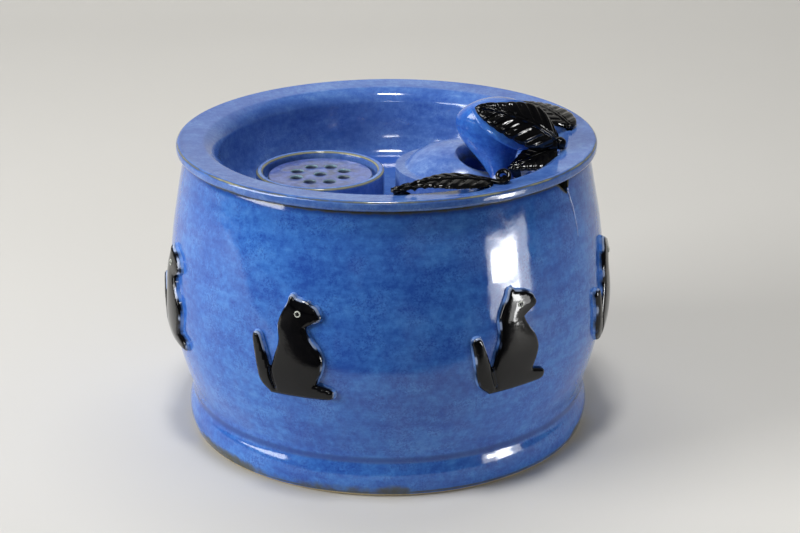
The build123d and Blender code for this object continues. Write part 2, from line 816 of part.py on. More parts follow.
with BuildPart() as shaft_bushes:
    pump_disc(tunnel_back, tunnel_back + bush_length, tunnel_radius)
    pump_disc(bush_hub_back, bush_hub_back + bush_length, bush_radius)
    add(impeller_shaft.part, mode=Mode.SUBTRACT)

finish(shaft_bushes.part, "shaft_bushes")

# ---- chamber cover with the inlet eye ----
cover_inner_width = pump_width - 2 * front_cover_wall
cover_inner_height = pump_height - 2 * front_cover_wall
cover_inner_corner = pump_corner - front_cover_wall

with BuildPart() as chamber_cover:
    with BuildSketch(pump_face(pump_front_reach)):
        with Locations((0, pump_height / 2)):
            RectangleRounded(
                cover_inner_width - 2 * front_cover_gap,
                cover_inner_height - 2 * front_cover_gap,
                cover_inner_corner,
            )
        with Locations((0, rotor_axis_rise)):
            Circle(eye_radius, mode=Mode.SUBTRACT)
            with PolarLocations(0, 3, start_angle=90):
                with Locations((eye_radius / 2, 0)):
                    Rectangle(eye_radius + spigot_wall, eye_spoke)
    extrude(amount=chamber_cover_thickness)
    pump_disc(pump_front_reach - spigot_depth, pump_front_reach, volute_radius - spigot_gap)
    pump_disc(pump_front_reach - spigot_depth, pump_front_reach, volute_radius - spigot_wall, Mode.SUBTRACT)
    pump_disc(bush_hub_back, cover_plate_front, bush_radius + bush_hub_wall)
    pump_disc(bush_hub_back, bush_hub_back + bush_length, bush_radius, Mode.SUBTRACT)

finish(chamber_cover.part, "chamber_cover")

# ---- pull-off front cover with intake slots and the rails of the flow gate ----
front_face_reach = pump_front_reach + front_cover_depth
front_inner_reach = front_face_reach - front_cover_wall
rail_inner = gate_height / 2 + gate_gap
rail_depth = gate_thickness + gate_gap
rail_length = gate_width + gate_travel + 2 * gate_gap
rail_middle = gate_travel / 2

with BuildPart() as front_cover:
    with BuildSketch(pump_face(pump_front_reach)):
        with Locations((0, pump_height / 2)):
            RectangleRounded(pump_width, pump_height, pump_corner)
    extrude(amount=front_cover_depth)
    with BuildSketch(pump_face(pump_front_reach)):
        with Locations((0, pump_height / 2)):
            RectangleRounded(cover_inner_width, cover_inner_height, cover_inner_corner)
    extrude(amount=front_cover_depth - front_cover_wall, mode=Mode.SUBTRACT)
    with BuildSketch(pump_face(front_inner_reach)):
        with Locations((0, slot_middle_rise)):
            with GridLocations(slot_pitch, 0, slot_count, 1):
                SlotOverall(slot_height, slot_width, rotation=90)
        with Locations((0, gate_middle_rise)):
            Rectangle(gate_window_width, gate_window_height)
    extrude(amount=front_cover_wall, mode=Mode.SUBTRACT)
    with BuildSketch(pump_face(front_face_reach)):
        with Locations((rail_middle, gate_middle_rise)):
            Rectangle(rail_length, 2 * (rail_inner + gate_rail))
            Rectangle(rail_length, 2 * rail_inner, mode=Mode.SUBTRACT)
    extrude(amount=rail_depth)
    with BuildSketch(pump_face(front_face_reach + rail_depth)):
        with Locations((rail_middle, gate_middle_rise)):
            Rectangle(rail_length, 2 * (rail_inner + gate_rail))
            Rectangle(rail_length, 2 * (rail_inner - gate_rail_lip), mode=Mode.SUBTRACT)
    extrude(amount=gate_rail)

finish(front_cover.part, "front_cover")

with BuildPart() as flow_gate:
    with BuildSketch(pump_face(front_face_reach)):
        with Locations((0, gate_middle_rise)):
            Rectangle(gate_width, gate_height)
    extrude(amount=gate_thickness)
    with BuildSketch(pump_face(front_face_reach + gate_thickness)):
        with Locations((0, gate_middle_rise)):
            Rectangle(gate_grip, gate_height - 2 * gate_rail_lip - 2 * gate_gap)
    extrude(amount=gate_rail + gate_grip)

finish(flow_gate.part, "flow_gate")

with BuildPart() as intake_foam:
    with BuildSketch(pump_face(front_inner_reach - foam_thickness)):
        with Locations((0, pump_height / 2)):
            RectangleRounded(cover_inner_width, cover_inner_height, cover_inner_corner)
    extrude(amount=foam_thickness)

finish(intake_foam.part, "intake_foam")

# ---- outlet nozzle and riser tube ----
flange_top_z = pump_underside_z + pump_height + nozzle_flange
riser_axis = Axis((well_x, well_y, 0), (0, 0, 1))

with BuildPart() as outlet_nozzle:
    with BuildSketch(pump_level(pump_height - nozzle_socket_depth)):
        Circle(nozzle_socket_radius)
    extrude(amount=nozzle_socket_depth)
    with BuildSketch(pump_level(pump_height)):
        Circle(nozzle_flange_radius)
    extrude(amount=nozzle_flange)
    with BuildSketch(pump_level(pump_height + nozzle_flange)):
        Circle(nozzle_radius)
    extrude(amount=nozzle_stub)
    with BuildSketch(Plane(origin=(well_x, well_y, flange_top_z), x_dir=(1, 0, 0), z_dir=(0, -1, 0))):
        for barb in range(nozzle_barb_count):
            top = nozzle_stub - (barb + 0.2) * nozzle_barb_length
            with BuildLine():
                Polyline(
                    (nozzle_bore_radius, top),
                    (nozzle_radius, top),
                    (nozzle_radius + nozzle_barb, top - 0.7 * nozzle_barb_length),
                    (nozzle_bore_radius, top - 0.7 * nozzle_barb_length),
                    (nozzle_bore_radius, top),
                )
            make_face()
    revolve(axis=riser_axis)
    with BuildSketch(pump_level(pump_height - nozzle_socket_depth)):
        Circle(nozzle_bore_radius)
    extrude(amount=nozzle_socket_depth + nozzle_flange + nozzle_stub, mode=Mode.SUBTRACT)

finish(outlet_nozzle.part, "outlet_nozzle")

with BuildPart() as riser_tube:
    with BuildSketch(Plane.XY.offset(flange_top_z)):
        with Locations((well_x, well_y)):
            Circle(riser_outer_radius)
            Circle(riser_bore_radius, mode=Mode.SUBTRACT)
    extrude(amount=well_floor_z - riser_below_well - flange_top_z)

finish(riser_tube.part, "riser_tube")

# ---- cable gland ----
with BuildPart() as cable_gland:
    with BuildSketch(pump_level(pump_height - pump_wall)):
        with Locations((gland_reach, 0)):
            Circle(gland_hole_radius)
    extrude(amount=pump_wall)
    with BuildSketch(pump_level(pump_height)):
        with Locations((gland_reach, 0)):
            Circle(gland_flange_radius)
    extrude(amount=gland_flange)
    with Locations(pump_level(pump_height + gland_flange).location * Pos(gland_reach, 0, 0)):
        Cone(
            gland_boot_radius,
            gland_tip_radius,
            gland_boot,
            align=(Align.CENTER, Align.CENTER, Align.MIN),
        )
    with BuildSketch(pump_level(pump_height - pump_wall)):
        with Locations((gland_reach, 0)):
            Circle(gland_bore_radius)
    extrude(amount=pump_wall + gland_flange + gland_boot, mode=Mode.SUBTRACT)

finish(cable_gland.part, "cable_gland")

# ---- suction cups ----
with BuildPart() as suction_cups:
    for reach, side in cup_places:
        cup_middle = Vector(well_x - reach, well_y - side, inner_floor_z)
        with BuildSketch(Plane(origin=cup_middle, x_dir=(1, 0, 0), z_dir=(0, -1, 0))) as cup_half:
            with BuildLine():
                Polyline(
                    (0, cup_hollow),
                    (cup_radius - cup_rim, 0),
                    (cup_radius, 0),
                    (cup_radius, 0.5 * cup_rim),
                    (cup_neck_radius, 0.7 * cup_height),
                    (cup_neck_radius, cup_height),
                    (cup_stud_radius, cup_height),
                    (cup_stud_radius, cup_height + cup_stud_length),
                    (0, cup_height + cup_stud_length),
                    (0, cup_hollow),
                )
            make_face()
        revolve(cup_half.sketch, axis=Axis(cup_middle, (0, 0, 1)))

finish(suction_cups.part, "suction_cups")

print("pieces", len(pieces))
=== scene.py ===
import json
from math import acos, atan2, cos, hypot, pi, radians, sin, sqrt

import bmesh
import bpy
from mathutils import Matrix, Vector, noise
from mathutils.geometry import interpolate_bezier

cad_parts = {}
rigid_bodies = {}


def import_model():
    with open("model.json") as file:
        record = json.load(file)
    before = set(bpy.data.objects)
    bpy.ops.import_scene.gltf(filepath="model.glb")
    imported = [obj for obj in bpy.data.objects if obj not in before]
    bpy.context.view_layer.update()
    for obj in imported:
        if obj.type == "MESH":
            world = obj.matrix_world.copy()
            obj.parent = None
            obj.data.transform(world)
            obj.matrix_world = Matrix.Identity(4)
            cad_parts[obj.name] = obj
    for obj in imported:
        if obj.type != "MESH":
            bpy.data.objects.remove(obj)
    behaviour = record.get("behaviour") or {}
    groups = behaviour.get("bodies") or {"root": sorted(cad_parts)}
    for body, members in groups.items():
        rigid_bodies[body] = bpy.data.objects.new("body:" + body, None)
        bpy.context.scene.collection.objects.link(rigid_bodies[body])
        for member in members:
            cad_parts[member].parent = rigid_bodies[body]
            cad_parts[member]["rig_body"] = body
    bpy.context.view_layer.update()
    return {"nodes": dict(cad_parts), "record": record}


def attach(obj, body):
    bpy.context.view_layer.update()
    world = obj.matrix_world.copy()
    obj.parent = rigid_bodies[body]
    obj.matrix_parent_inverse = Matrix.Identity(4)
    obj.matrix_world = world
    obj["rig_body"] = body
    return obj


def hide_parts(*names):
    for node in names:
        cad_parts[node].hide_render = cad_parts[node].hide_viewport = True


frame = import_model()
print("frame loaded")

# every form is made in millimetres and shrunk to metres when it is set down


def clamp(value, low=0.0, high=1.0):
    return max(low, min(high, value))


def near(distance, width):
    # 1 at no distance, falling to 0 at the width
    return max(0.0, 1 - (distance / width) ** 2)


def fromAxis(spot, middle=(0, 0)):
    # level distance of a spot from an upright axis
    return hypot(spot[0] - middle[0], spot[1] - middle[1])


def waver(spot, scale, level=0):
    # slow change from place to place, within -1 and 1
    return noise.noise(Vector((spot[0] * scale, spot[1] * scale, level)))


def corners(*spots):
    return [Vector(spot) for spot in spots]


def camel(name):
    first, *others = name.split("_")
    return first + "".join(word.capitalize() for word in others)


def softLine(places, ways, steps):
    # smooth line through places that passes each one along its way; None takes the neighbours' way
    places = corners(*places)
    leads = []
    for at, way in enumerate(ways):
        if way is None:
            way = places[at + 1] - places[at - 1]
        leads.append(Vector(way).normalized())
    line = [places[0]]
    for at in range(len(places) - 1):
        reach = (places[at + 1] - places[at]).length / 3
        leaving = places[at] + leads[at] * reach
        arriving = places[at + 1] - leads[at + 1] * reach
        line += interpolate_bezier(places[at], leaving, arriving, places[at + 1], steps + 1)[1:]
    return line


def arcLine(middle, radius, start, end, steps):
    # points of an arc, angles in degrees
    turns = [radians(start + (end - start) * step / steps) for step in range(steps + 1)]
    return [Vector((middle[0] + radius * cos(a), middle[1] + radius * sin(a))) for a in turns]


def easeCorner(line, corner, reach, passes):
    # lets the points near a corner flow together, as thick glaze does
    for _ in range(passes):
        for at in range(1, len(line) - 1):
            if (line[at] - Vector(corner)).length < reach:
                line[at] = (line[at - 1] + line[at] * 2 + line[at + 1]) / 4
    return line


def turnRound(form, segments, middle=(0, 0)):
    # full turn of everything in a form about an upright axis
    bmesh.ops.spin(
        form, geom=form.verts[:] + form.edges[:], cent=(*middle, 0), axis=(0, 0, 1), angle=2 * pi,
        steps=segments, use_merge=True,
    )


def turnOnWheel(profile, segments, middle=(0, 0), closed=False):
    # turns a profile of (radius, height) about an upright axis
    form = bmesh.new()
    ring = [form.verts.new((middle[0] + spot[0], middle[1], spot[1])) for spot in profile]
    for at in range(len(ring) - 1):
        form.edges.new((ring[at], ring[at + 1]))
    if closed:
        form.edges.new((ring[-1], ring[0]))
    turnRound(form, segments, middle)
    bmesh.ops.remove_doubles(form, verts=form.verts, dist=0.005)
    return form


def awayFrom(spot, line):
    # shortest distance from a spot to a line of points
    best = 1e9
    for one, two in zip(line, line[1:]):
        side = two - one
        share = clamp((spot - one).dot(side) / max(side.length_squared, 1e-9))
        best = min(best, (spot - one - side * share).length)
    return best


def paint(form, **shades):
    # stores how strongly parts of a finish show at each point, from 0 to 1
    for layerName, shade in shades.items():
        layer = form.verts.layers.float.new(layerName)
        for spot in form.verts:
            spot[layer] = clamp(shade(spot.co))


def closeUp(form, reach):
    # merges doubled points and turns every face outwards
    bmesh.ops.remove_doubles(form, verts=form.verts, dist=reach)
    bmesh.ops.recalc_face_normals(form, faces=form.faces)


def moveOut(form, pulled, way):
    # moves what an extrusion has just made
    fresh = [part for part in pulled["geom"] if isinstance(part, bmesh.types.BMVert)]
    bmesh.ops.translate(form, vec=way, verts=fresh)


def meshOf(form, name):
    data = bpy.data.meshes.new(name)
    form.to_mesh(data)
    form.free()
    return data


def bringIn(name, data):
    # new object in the scene
    made = bpy.data.objects.new(name, data)
    bpy.context.scene.collection.objects.link(made)
    return made


def setDown(form, node, body, finish, crease=38, pieceName=""):
    # makes a finished form a piece of the fountain, in place of a CAD node where it has one
    pieceName = pieceName or camel(node)
    closeUp(form, 0.004)
    bmesh.ops.scale(form, vec=(0.001, 0.001, 0.001), verts=form.verts)
    data = meshOf(form, pieceName)
    data.shade_smooth()
    data.set_sharp_from_angle(angle=radians(crease))
    data.materials.append(finish)
    piece = bringIn(pieceName, data)
    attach(piece, body)
    if node:
        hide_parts(node)
    return piece


def roundEdges(form, edges, radius, segments, clampOverlap=False):
    bmesh.ops.bevel(
        form, geom=edges, offset=radius, segments=segments, profile=0.5, affect="EDGES", material=-1,
        clamp_overlap=clampOverlap,
    )


def carve(form, cutter):
    # cuts one form out of another and gives the form back
    shells = []
    for shape, shellName in ((form, "carveBody"), (cutter, "carveTool")):
        bmesh.ops.recalc_face_normals(shape, faces=shape.faces)
        shells.append(bringIn(shellName, meshOf(shape, shellName)))
    cut = shells[0].modifiers.new("cut", "BOOLEAN")
    cut.object, cut.operation, cut.solver = shells[1], "DIFFERENCE", "EXACT"
    graph = bpy.context.evaluated_depsgraph_get()
    result = bmesh.new()
    result.from_mesh(shells[0].evaluated_get(graph).to_mesh())
    for shell in shells:
        data = shell.data
        bpy.data.objects.remove(shell)
        bpy.data.meshes.remove(data)
    return result


def roundRod(pieceName, places, girths, thick, rounding, finish):
    # smooth rod through places in metres; girths are shares of its half thickness
    data = bpy.data.curves.new(pieceName, "CURVE")
    data.dimensions = "3D"
    data.bevel_depth = thick
    data.bevel_resolution, data.resolution_u = rounding
    data.use_fill_caps = True
    run = data.splines.new("NURBS")
    run.points.add(len(places) - 1)
    for point, place, girth in zip(run.points, places, girths):
        point.co = (*place, 1)
        point.radius = girth
    run.order_u = 4
    run.use_endpoint_u = True
    data.materials.append(finish)
    return bringIn(pieceName, data)


def tone(red, green, blue):
    # linear colour of a screen tone
    parts = [part / 255 for part in (red, green, blue)]
    return tuple(((p + 0.055) / 1.055) ** 2.4 if p > 0.04 else p / 12.92 for p in parts) + (1.0,)


class Finish:
    # a procedural material with short ways to add its nodes
    def __init__(self, name):
        self.material = bpy.data.materials.new(name)
        self.material.use_nodes = True
        self.tree = self.material.node_tree
        self.shader = self.tree.nodes["Principled BSDF"]
        self.place = self.node("ShaderNodeTexCoord").outputs["Object"]

    def feed(self, socket, value):
        # links another node's output to a socket, or sets the socket to a plain value
        if isinstance(value, bpy.types.NodeSocket):
            self.tree.links.new(value, socket)
        else:
            socket.default_value = value

    def node(self, kind, inputs=None, **settings):
        made = self.tree.nodes.new(kind)
        for key, value in settings.items():
            setattr(made, key, value)
        for key, value in (inputs or {}).items():
            self.feed(made.inputs[key], value)
        return made

    def grain(self, scale, detail, rough=0.55, stretch=(1, 1, 1)):
        # noise on the object's own coordinates, scale in features per metre
        moved = self.node("ShaderNodeMapping", {"Vector": self.place, "Scale": stretch}).outputs[0]
        inputs = {"Vector": moved, "Scale": scale, "Detail": detail, "Roughness": rough}
        return self.node("ShaderNodeTexNoise", inputs).outputs["Fac"]

    def span(self, value, low, high, start=0.0, end=1.0):
        inputs = {"Value": value, "From Min": low, "From Max": high, "To Min": start, "To Max": end}
        return self.node("ShaderNodeMapRange", inputs, interpolation_type="SMOOTHSTEP").outputs["Result"]

    def maths(self, kind, one, two):
        return self.node("ShaderNodeMath", {0: one, 1: two}, operation=kind).outputs[0]

    def times(self, one, two):
        return self.maths("MULTIPLY", one, two)

    def plus(self, one, two):
        return self.maths("ADD", one, two)

    def blend(self, share, under, over):
        # the colour sockets of the Mix node are 6 and 7
        return self.node("ShaderNodeMix", {0: share, 6: under, 7: over}, data_type="RGBA").outputs[2]

    def mark(self, layerName):
        return self.node("ShaderNodeAttribute", attribute_name=layerName).outputs["Fac"]

    def wear(self, colour, roughness, dents=None, depth=0.0001, **sockets):
        # puts the finish on the shader: colour and roughness, then a bump, then fixed values
        self.feed(self.shader.inputs["Base Color"], colour)
        self.feed(self.shader.inputs["Roughness"], roughness)
        if dents is not None:
            bump = self.node("ShaderNodeBump", {"Height": dents, "Distance": depth, "Strength": 1.0})
            self.feed(self.shader.inputs["Normal"], bump.outputs["Normal"])
        for key, value in sockets.items():
            self.feed(self.shader.inputs[key.replace("_", " ")], value)
        return self.material


glazeTones = {
    "deep": tone(42, 84, 172), "middle": tone(62, 118, 200), "pale": tone(88, 146, 216),
    "milky": tone(122, 158, 214), "speck": tone(34, 68, 160), "cream": tone(150, 150, 122),
    "olive": tone(78, 80, 58), "clay": tone(188, 172, 138),
}
blueLook = {
    **glazeTones, "clouds": 30, "bloom": 0.6, "milk": 0.25, "specks": 0.5, "sheen": 0.06,
    "bare": False, "hollow": glazeTones["speck"], "breaking": glazeTones["cream"],
}


def blueGlaze(name, changes):
    # mottled blue: clouds, drifts along the wheel's turn, fine specks in clusters, edges where it breaks
    look = {**blueLook, **changes}
    glaze = Finish(name)
    grain, span, blend = glaze.grain, glaze.span, glaze.blend
    times, plus, mark = glaze.times, glaze.plus, glaze.mark
    clouds = grain(look["clouds"], 4, 0.6)
    drift = grain(70, 4, 0.65, (0.5, 0.5, 2.2))
    mottle = grain(260, 4, 0.7)
    depth = plus(times(clouds, 0.45), times(drift, 0.55))
    depth = plus(times(depth, 0.6), times(mottle, 0.4))
    colour = blend(span(depth, 0.36, 0.58), look["deep"], look["middle"])
    colour = blend(span(depth, 0.50, 0.68, 0, look["bloom"]), colour, look["pale"])
    milk = span(grain(38, 3), 0.48, 0.72, 0, look["milk"])
    colour = blend(milk, colour, look["milky"])
    cluster = span(grain(75, 3), 0.42, 0.6)
    fleck = span(grain(820, 3, 0.7), 0.47, 0.6, 0, look["specks"])
    colour = blend(times(cluster, fleck), colour, look["speck"])
    # darker where the glaze pools in hollows, and painted shade in corners, recesses and under overhangs;
    # the glaze runs thin on edges
    pool = span(plus(mark("pool"), times(drift, 0.3)), 0.2, 1.0)
    colour = blend(times(pool, 0.8), colour, look["hollow"])
    thin = plus(mark("edge"), times(grain(180, 3), 0.5))
    colour = blend(span(thin, 0.6, 0.95, 0, 0.8), colour, look["olive"])
    colour = blend(span(thin, 0.85, 1.2), colour, look["breaking"])
    roughness = span(grain(90, 2), 0.3, 0.7, look["sheen"], look["sheen"] + 0.06)
    if look["bare"]:
        grit = grain(1400, 2, 0.7)
        claySurface = blend(span(grit, 0.35, 0.65), tone(160, 144, 112), look["clay"])
        bare = span(mark("bare"), 0.4, 0.6)
        colour = blend(bare, colour, claySurface)
        roughness = plus(roughness, times(bare, 0.75))
    dents = plus(times(grain(120, 2), 0.8), times(grain(520, 2), 0.2))
    return glaze.wear(colour, roughness, dents, 0.00006, IOR=1.52)


def blackGlaze(name, look):
    # near black gloss that breaks to olive brown and pale grey on raised edges; on the cats the pale edge
    # band is partly a painted highlight
    glaze = Finish(name)
    grain, span, blend = glaze.grain, glaze.span, glaze.blend
    times, plus, mark = glaze.times, glaze.plus, glaze.mark
    base = blend(span(grain(160, 3), 0.4, 0.7), tone(4, 4, 6), tone(12, 11, 12))
    thin = plus(mark("edge"), times(grain(260, 3), 0.4))
    colour = blend(span(thin, 0.62, 0.95, 0, look["breakShare"]), base, look["breaking"])
    colour = blend(span(thin, 0.95, 1.25, 0, look["breakShare"]), colour, look["palest"])
    if "under" in look:
        # blue glaze of the body shows on the sides of the relief
        blue = blend(span(grain(240, 3), 0.36, 0.56), glazeTones["middle"], look["under"])
        colour = blend(mark("side"), colour, blue)
    # eye ring painted near white: pale glaze, partly a painted highlight
    colour = blend(span(mark("eye"), 0.4, 0.6), colour, tone(196, 200, 190))
    dents = plus(grain(110, 2), times(grain(420, 2), 0.3))
    roughness = span(grain(80, 2), 0.3, 0.7, 0.05, 0.1)
    return glaze.wear(colour, roughness, dents, 0.00008, IOR=1.39)


def tones(deep, middle, pale):
    return {"deep": tone(*deep), "middle": tone(*middle), "pale": tone(*pale)}


glazeLooks = {
    "pot": {
        # the pot's dark break and pooled tones also carry painted shade under the basin's flange
        "bare": True, "hollow": tone(26, 60, 134), "milk": 0.12, "specks": 0.6,
        "breaking": tone(74, 70, 38),
    },
    "basin": {
        **tones((58, 93, 168), (80, 118, 188), (110, 148, 203)), "bloom": 0.7, "specks": 0.35,
        "milk": 0.3, "hollow": glazeTones["deep"],
    },
    "collar": {
        **tones((70, 106, 186), (98, 136, 206), (132, 166, 220)), "specks": 0.2, "milk": 0.6,
    },
    "mound": {
        # paler, milkier tones than the basin: a paler glaze, partly painted light for the dome facing up
        **tones((66, 97, 168), (92, 124, 186), (128, 156, 205)), "bloom": 0.9, "specks": 0.25,
        "milk": 0.5, "sheen": 0.2, "breaking": tone(126, 112, 96),
    },
    "gourd": {"clouds": 40, "bloom": 0.7, "specks": 0.35},
    "strainer": {
        **tones((84, 100, 170), (110, 130, 200), (134, 154, 214)), "bloom": 0.6, "specks": 0.2,
        "milk": 0.1, "breaking": tone(140, 178, 196),
    },
}
blueGlazes = {part: blueGlaze(part + "Glaze", look) for part, look in glazeLooks.items()}
blackLooks = {
    "cat": {
        # the pale edge tones carry the cats' painted highlight as well as their glaze break
        "breakShare": 0.75, "breaking": tone(52, 62, 84), "palest": tone(168, 184, 214),
        "under": tone(112, 150, 214),
    },
    "leaf": {"breakShare": 0.8, "breaking": tone(58, 57, 44), "palest": tone(132, 132, 116)},
}
catGlaze = blackGlaze("catGlaze", blackLooks["cat"])
leafGlaze = blackGlaze("leafGlaze", blackLooks["leaf"])
print("glazes mixed")


potLook = {
    "foot": 121.3, "footRing": 10.0, "footRecess": 3.0, "beadMiddle": (104.51, 9.91),
    "beadArc": 19.5, "side": [(119.8, 22.0), (132.6, 84.0), (120.4, 172.5)],
    "sideWays": [(0.34, 1), (0, 1), (-0.2, 1)], "wall": 6.5, "floor": 11.0, "corner": 12.0,
    "lipRound": 1.6, "bareFoot": 1.7, "pressed": 0.2, "notchAngle": 55.0, "notchFrom": 108.0,
    "notchLength": 20.0, "notchRound": 0.7,
    "notch": [(-6.5, 1.0), (-6.5, 0.0), (2.6, -8.5), (4.7, -6.8), (6.5, 0.0), (6.5, 1.0)],
    "segments": 300,
}

outerSide = softLine(potLook["side"], potLook["sideWays"], 34)
innerSide = softLine([(r - potLook["wall"], z) for r, z in potLook["side"]], potLook["sideWays"], 20)


def potRadius(height):
    # outside radius of the wall at a height
    for low, high in zip(outerSide, outerSide[1:]):
        if height <= high[1]:
            share = (height - low[1]) / (high[1] - low[1])
            return low[0] + share * (high[0] - low[0])
    return outerSide[-1][0]


def potProfile():
    look = potLook
    inFoot = look["foot"] - look["footRing"]
    foot = [(0, look["footRecess"]), (inFoot - 1, look["footRecess"]), (inFoot, 2.4), (inFoot, 0.6)]
    foot += [(inFoot + 0.6, 0), (look["foot"] - 1.4, 0), (look["foot"] - 0.5, 0.2)]
    bead = arcLine(look["beadMiddle"], look["beadArc"], -28.5, 38.3, 34)
    outside = easeCorner(bead[:-1] + outerSide[:-1], look["side"][0], 5.0, 24)
    soft = look["lipRound"]
    lip, lipLevel = look["side"][-1]
    outside = [spot for spot in outside if spot[1] < lipLevel - soft]
    lipArc = arcLine((lip - soft, lipLevel - soft), soft, 0, 90, 8)
    lipArc += arcLine((lip - look["wall"] + soft, lipLevel - soft), soft, 90, 180, 8)
    inside = [spot for spot in innerSide if spot[1] < lipLevel - soft]
    inside.reverse()
    cornerIn = (innerSide[0][0] - look["corner"], look["floor"])
    corner = softLine([inside[-1], cornerIn], [(-0.34, -1), (-1, 0)], 10)
    floor = [(cornerIn[0] * share, look["floor"]) for share in (0.9, 0.75, 0.6, 0.45, 0.3, 0.15, 0)]
    return corners(*foot, *outside, *lipArc, *inside, *corner[1:], *floor)


def wheelRipple(spot):
    # the slight unevenness of a thrown wall, in millimetres
    swirl = Vector((spot.x * 0.016, spot.y * 0.016, spot.z * 0.05))
    return 0.22 * noise.noise(swirl) + 0.05 * noise.noise(swirl * 5)


def makePot():
    look = potLook
    form = turnOnWheel(potProfile(), look["segments"])
    for spot in form.verts:
        across = fromAxis(spot.co)
        if across > look["foot"] - 8 and 2 < spot.co.z < 170:
            spot.co.xy *= 1 + (wheelRipple(spot.co) - look["pressed"]) / across
    # notch for the cord, cut through the lip
    lipRadius, lipLevel = look["side"][-1]
    turn = radians(look["notchAngle"])
    out = Vector((sin(turn), -cos(turn), 0))
    along = Vector((0, 0, 1)).cross(out)
    cutter = bmesh.new()
    start = out * look["notchFrom"] + Vector((0, 0, lipLevel))
    shape = [cutter.verts.new(start + along * x + Vector((0, 0, z))) for x, z in look["notch"]]
    mouth = cutter.faces.new(shape)
    moveOut(cutter, bmesh.ops.extrude_face_region(cutter, geom=[mouth]), out * look["notchLength"])
    form = carve(form, cutter)
    border = corners(*look["notch"])

    def isCut(edge):
        # sharp edge that the cutter left in the lip
        middle = (edge.verts[0].co + edge.verts[1].co) / 2
        inLip = middle.dot(out) > 100 and middle.z > 160
        return inLip and abs(middle.dot(along)) < 9 and edge.calc_face_angle(0) > radians(35)

    rims = [edge for edge in form.edges if len(edge.link_faces) == 2 and isCut(edge)]
    roundEdges(form, rims, look["notchRound"], 3, clampOverlap=True)

    def edgeShade(co):
        # the lip's dark olive break lies under the basin's flange and is partly painted shade there
        lip = 0.9 * near(hypot(fromAxis(co) - lipRadius + 0.4, co.z - lipLevel + 0.4), 3.2)
        rim = 0
        if co.dot(out) > 113 and co.z > 161:
            rim = near(awayFrom(Vector((co.dot(along), co.z - lipLevel)), border) - 0.3, 1.0)
        run = 0
        if co.z < 11 and fromAxis(co) > 119:
            drips = min(0.8, 2.4 * max(0, waver(co, 0.02, 3) + 0.2)) * near(co.z - 3, 8)
            run = max(drips, 0.7 * near(co.z - 2.7, 1.5))
        return max(lip, rim, run)

    # painted shade: darker in the crease above the foot, where the glaze also pools, and a painted shadow
    # band under the basin's flange
    def poolShade(co):
        waist = near(abs(co.z - look["side"][0][1] - 0.5), 2.8)
        shadeUnderFlange = near(abs(co.z - 169.5), 2.5) * 0.8
        return 0.75 * waist + shadeUnderFlange if fromAxis(co) > 116 else 0

    def bareShade(co):
        wander = 0.6 * waver(co, 0.02)
        inRecess = co.z < 4 and fromAxis(co) < 112
        return 1.0 if inRecess else 0.5 + (look["bareFoot"] + wander - co.z) * 1.2

    paint(form, edge=edgeShade, pool=poolShade, bare=bareShade)
    setDown(form, "reservoir_pot", "reservoir", blueGlazes["pot"])


glazeRunLook = {
    "path": [(4.0, -6.0), (4.4, -9.0), (6.0, -13.0), (7.5, -19.0), (8.6, -27.0), (9.4, -36.0)],
    "girths": (0.9, 1.0, 0.9, 0.8, 0.7, 0.4),
    "thick": 0.0006,
    "sunk": 0.15,
}


def makeGlazeRun():
    # thin ridge where the glaze ran down from the notch
    look = glazeRunLook
    places = []
    for x, z in look["path"]:
        height = potLook["side"][-1][1] + z
        reach = potRadius(height) - look["sunk"]
        turn = radians(potLook["notchAngle"]) + x / reach
        places.append((0.001 * reach * sin(turn), -0.001 * reach * cos(turn), 0.001 * height))
    piece = roundRod("glazeRun", places, look["girths"], look["thick"], (4, 12), blueGlazes["basin"])
    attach(piece, "reservoir")


makePot()
makeGlazeRun()
print("pot thrown")


catLook = {
    "angles": [-73.5, -24.3, 30.3, 75.5, 128.0, 181.0, 234.0], "foot": 62.8, "relief": 4.1,
    "shoulder": 1.9, "crown": 1.1, "spread": -0.8, "eye": (6.8, 51.7), "eyeRing": (1.5, 0.36),
    "eyeBead": (0.45, 0.5), "groove": [(-11.3, 16.5), (-10.4, 11.5), (-8.4, 5.5)], "cell": 1.6,
}


def catOutline():
    # the solid's outline as runs of smooth line; each run goes on from the end of the one before
    runs = [
        [(-18.5, 7.1), (-20.8, 17.8), (-22.9, 32.6)],
        [(-22.2, 35.6), (-20.2, 36.6), (-18.1, 36.1), (-16.9, 34.4)],
        [(-14.2, 26.0), (-11.2, 16.0)],
        [(-8.4, 25.0), (-5.8, 34.0), (-6.2, 44.5), (-0.4, 57.6)],
        [(0.4, 60.4), (2.2, 61.6), (3.6, 61.2), (4.6, 59.9)],
        [(10.5, 58.4), (16.6, 55.6), (19.1, 51.4)],
        [(19.4, 49.5), (18.4, 48.0), (17.2, 47.2), (15.6, 46.6)],
        [(10.4, 43.6)],
        [(12.2, 39.6), (18.4, 30.8), (20.6, 22.5), (16.6, 10.4)],
        [(23.6, 8.2)],
        [(25.9, 6.9), (26.4, 4.6), (25.3, 2.2), (22.6, 1.2)],
        [(-11.8, 0.5)],
    ]
    outline, last = [], runs[-1][-1]
    for ahead in runs:
        run = corners(last, *ahead)
        last = ahead[-1]
        ways = [run[1] - run[0]] + [None] * (len(run) - 2) + [run[-1] - run[-2]]
        steps = max(3, int((run[-1] - run[0]).length / (len(run) - 1) / 0.9))
        outline += softLine(run, ways, steps)[:-1]
    return outline


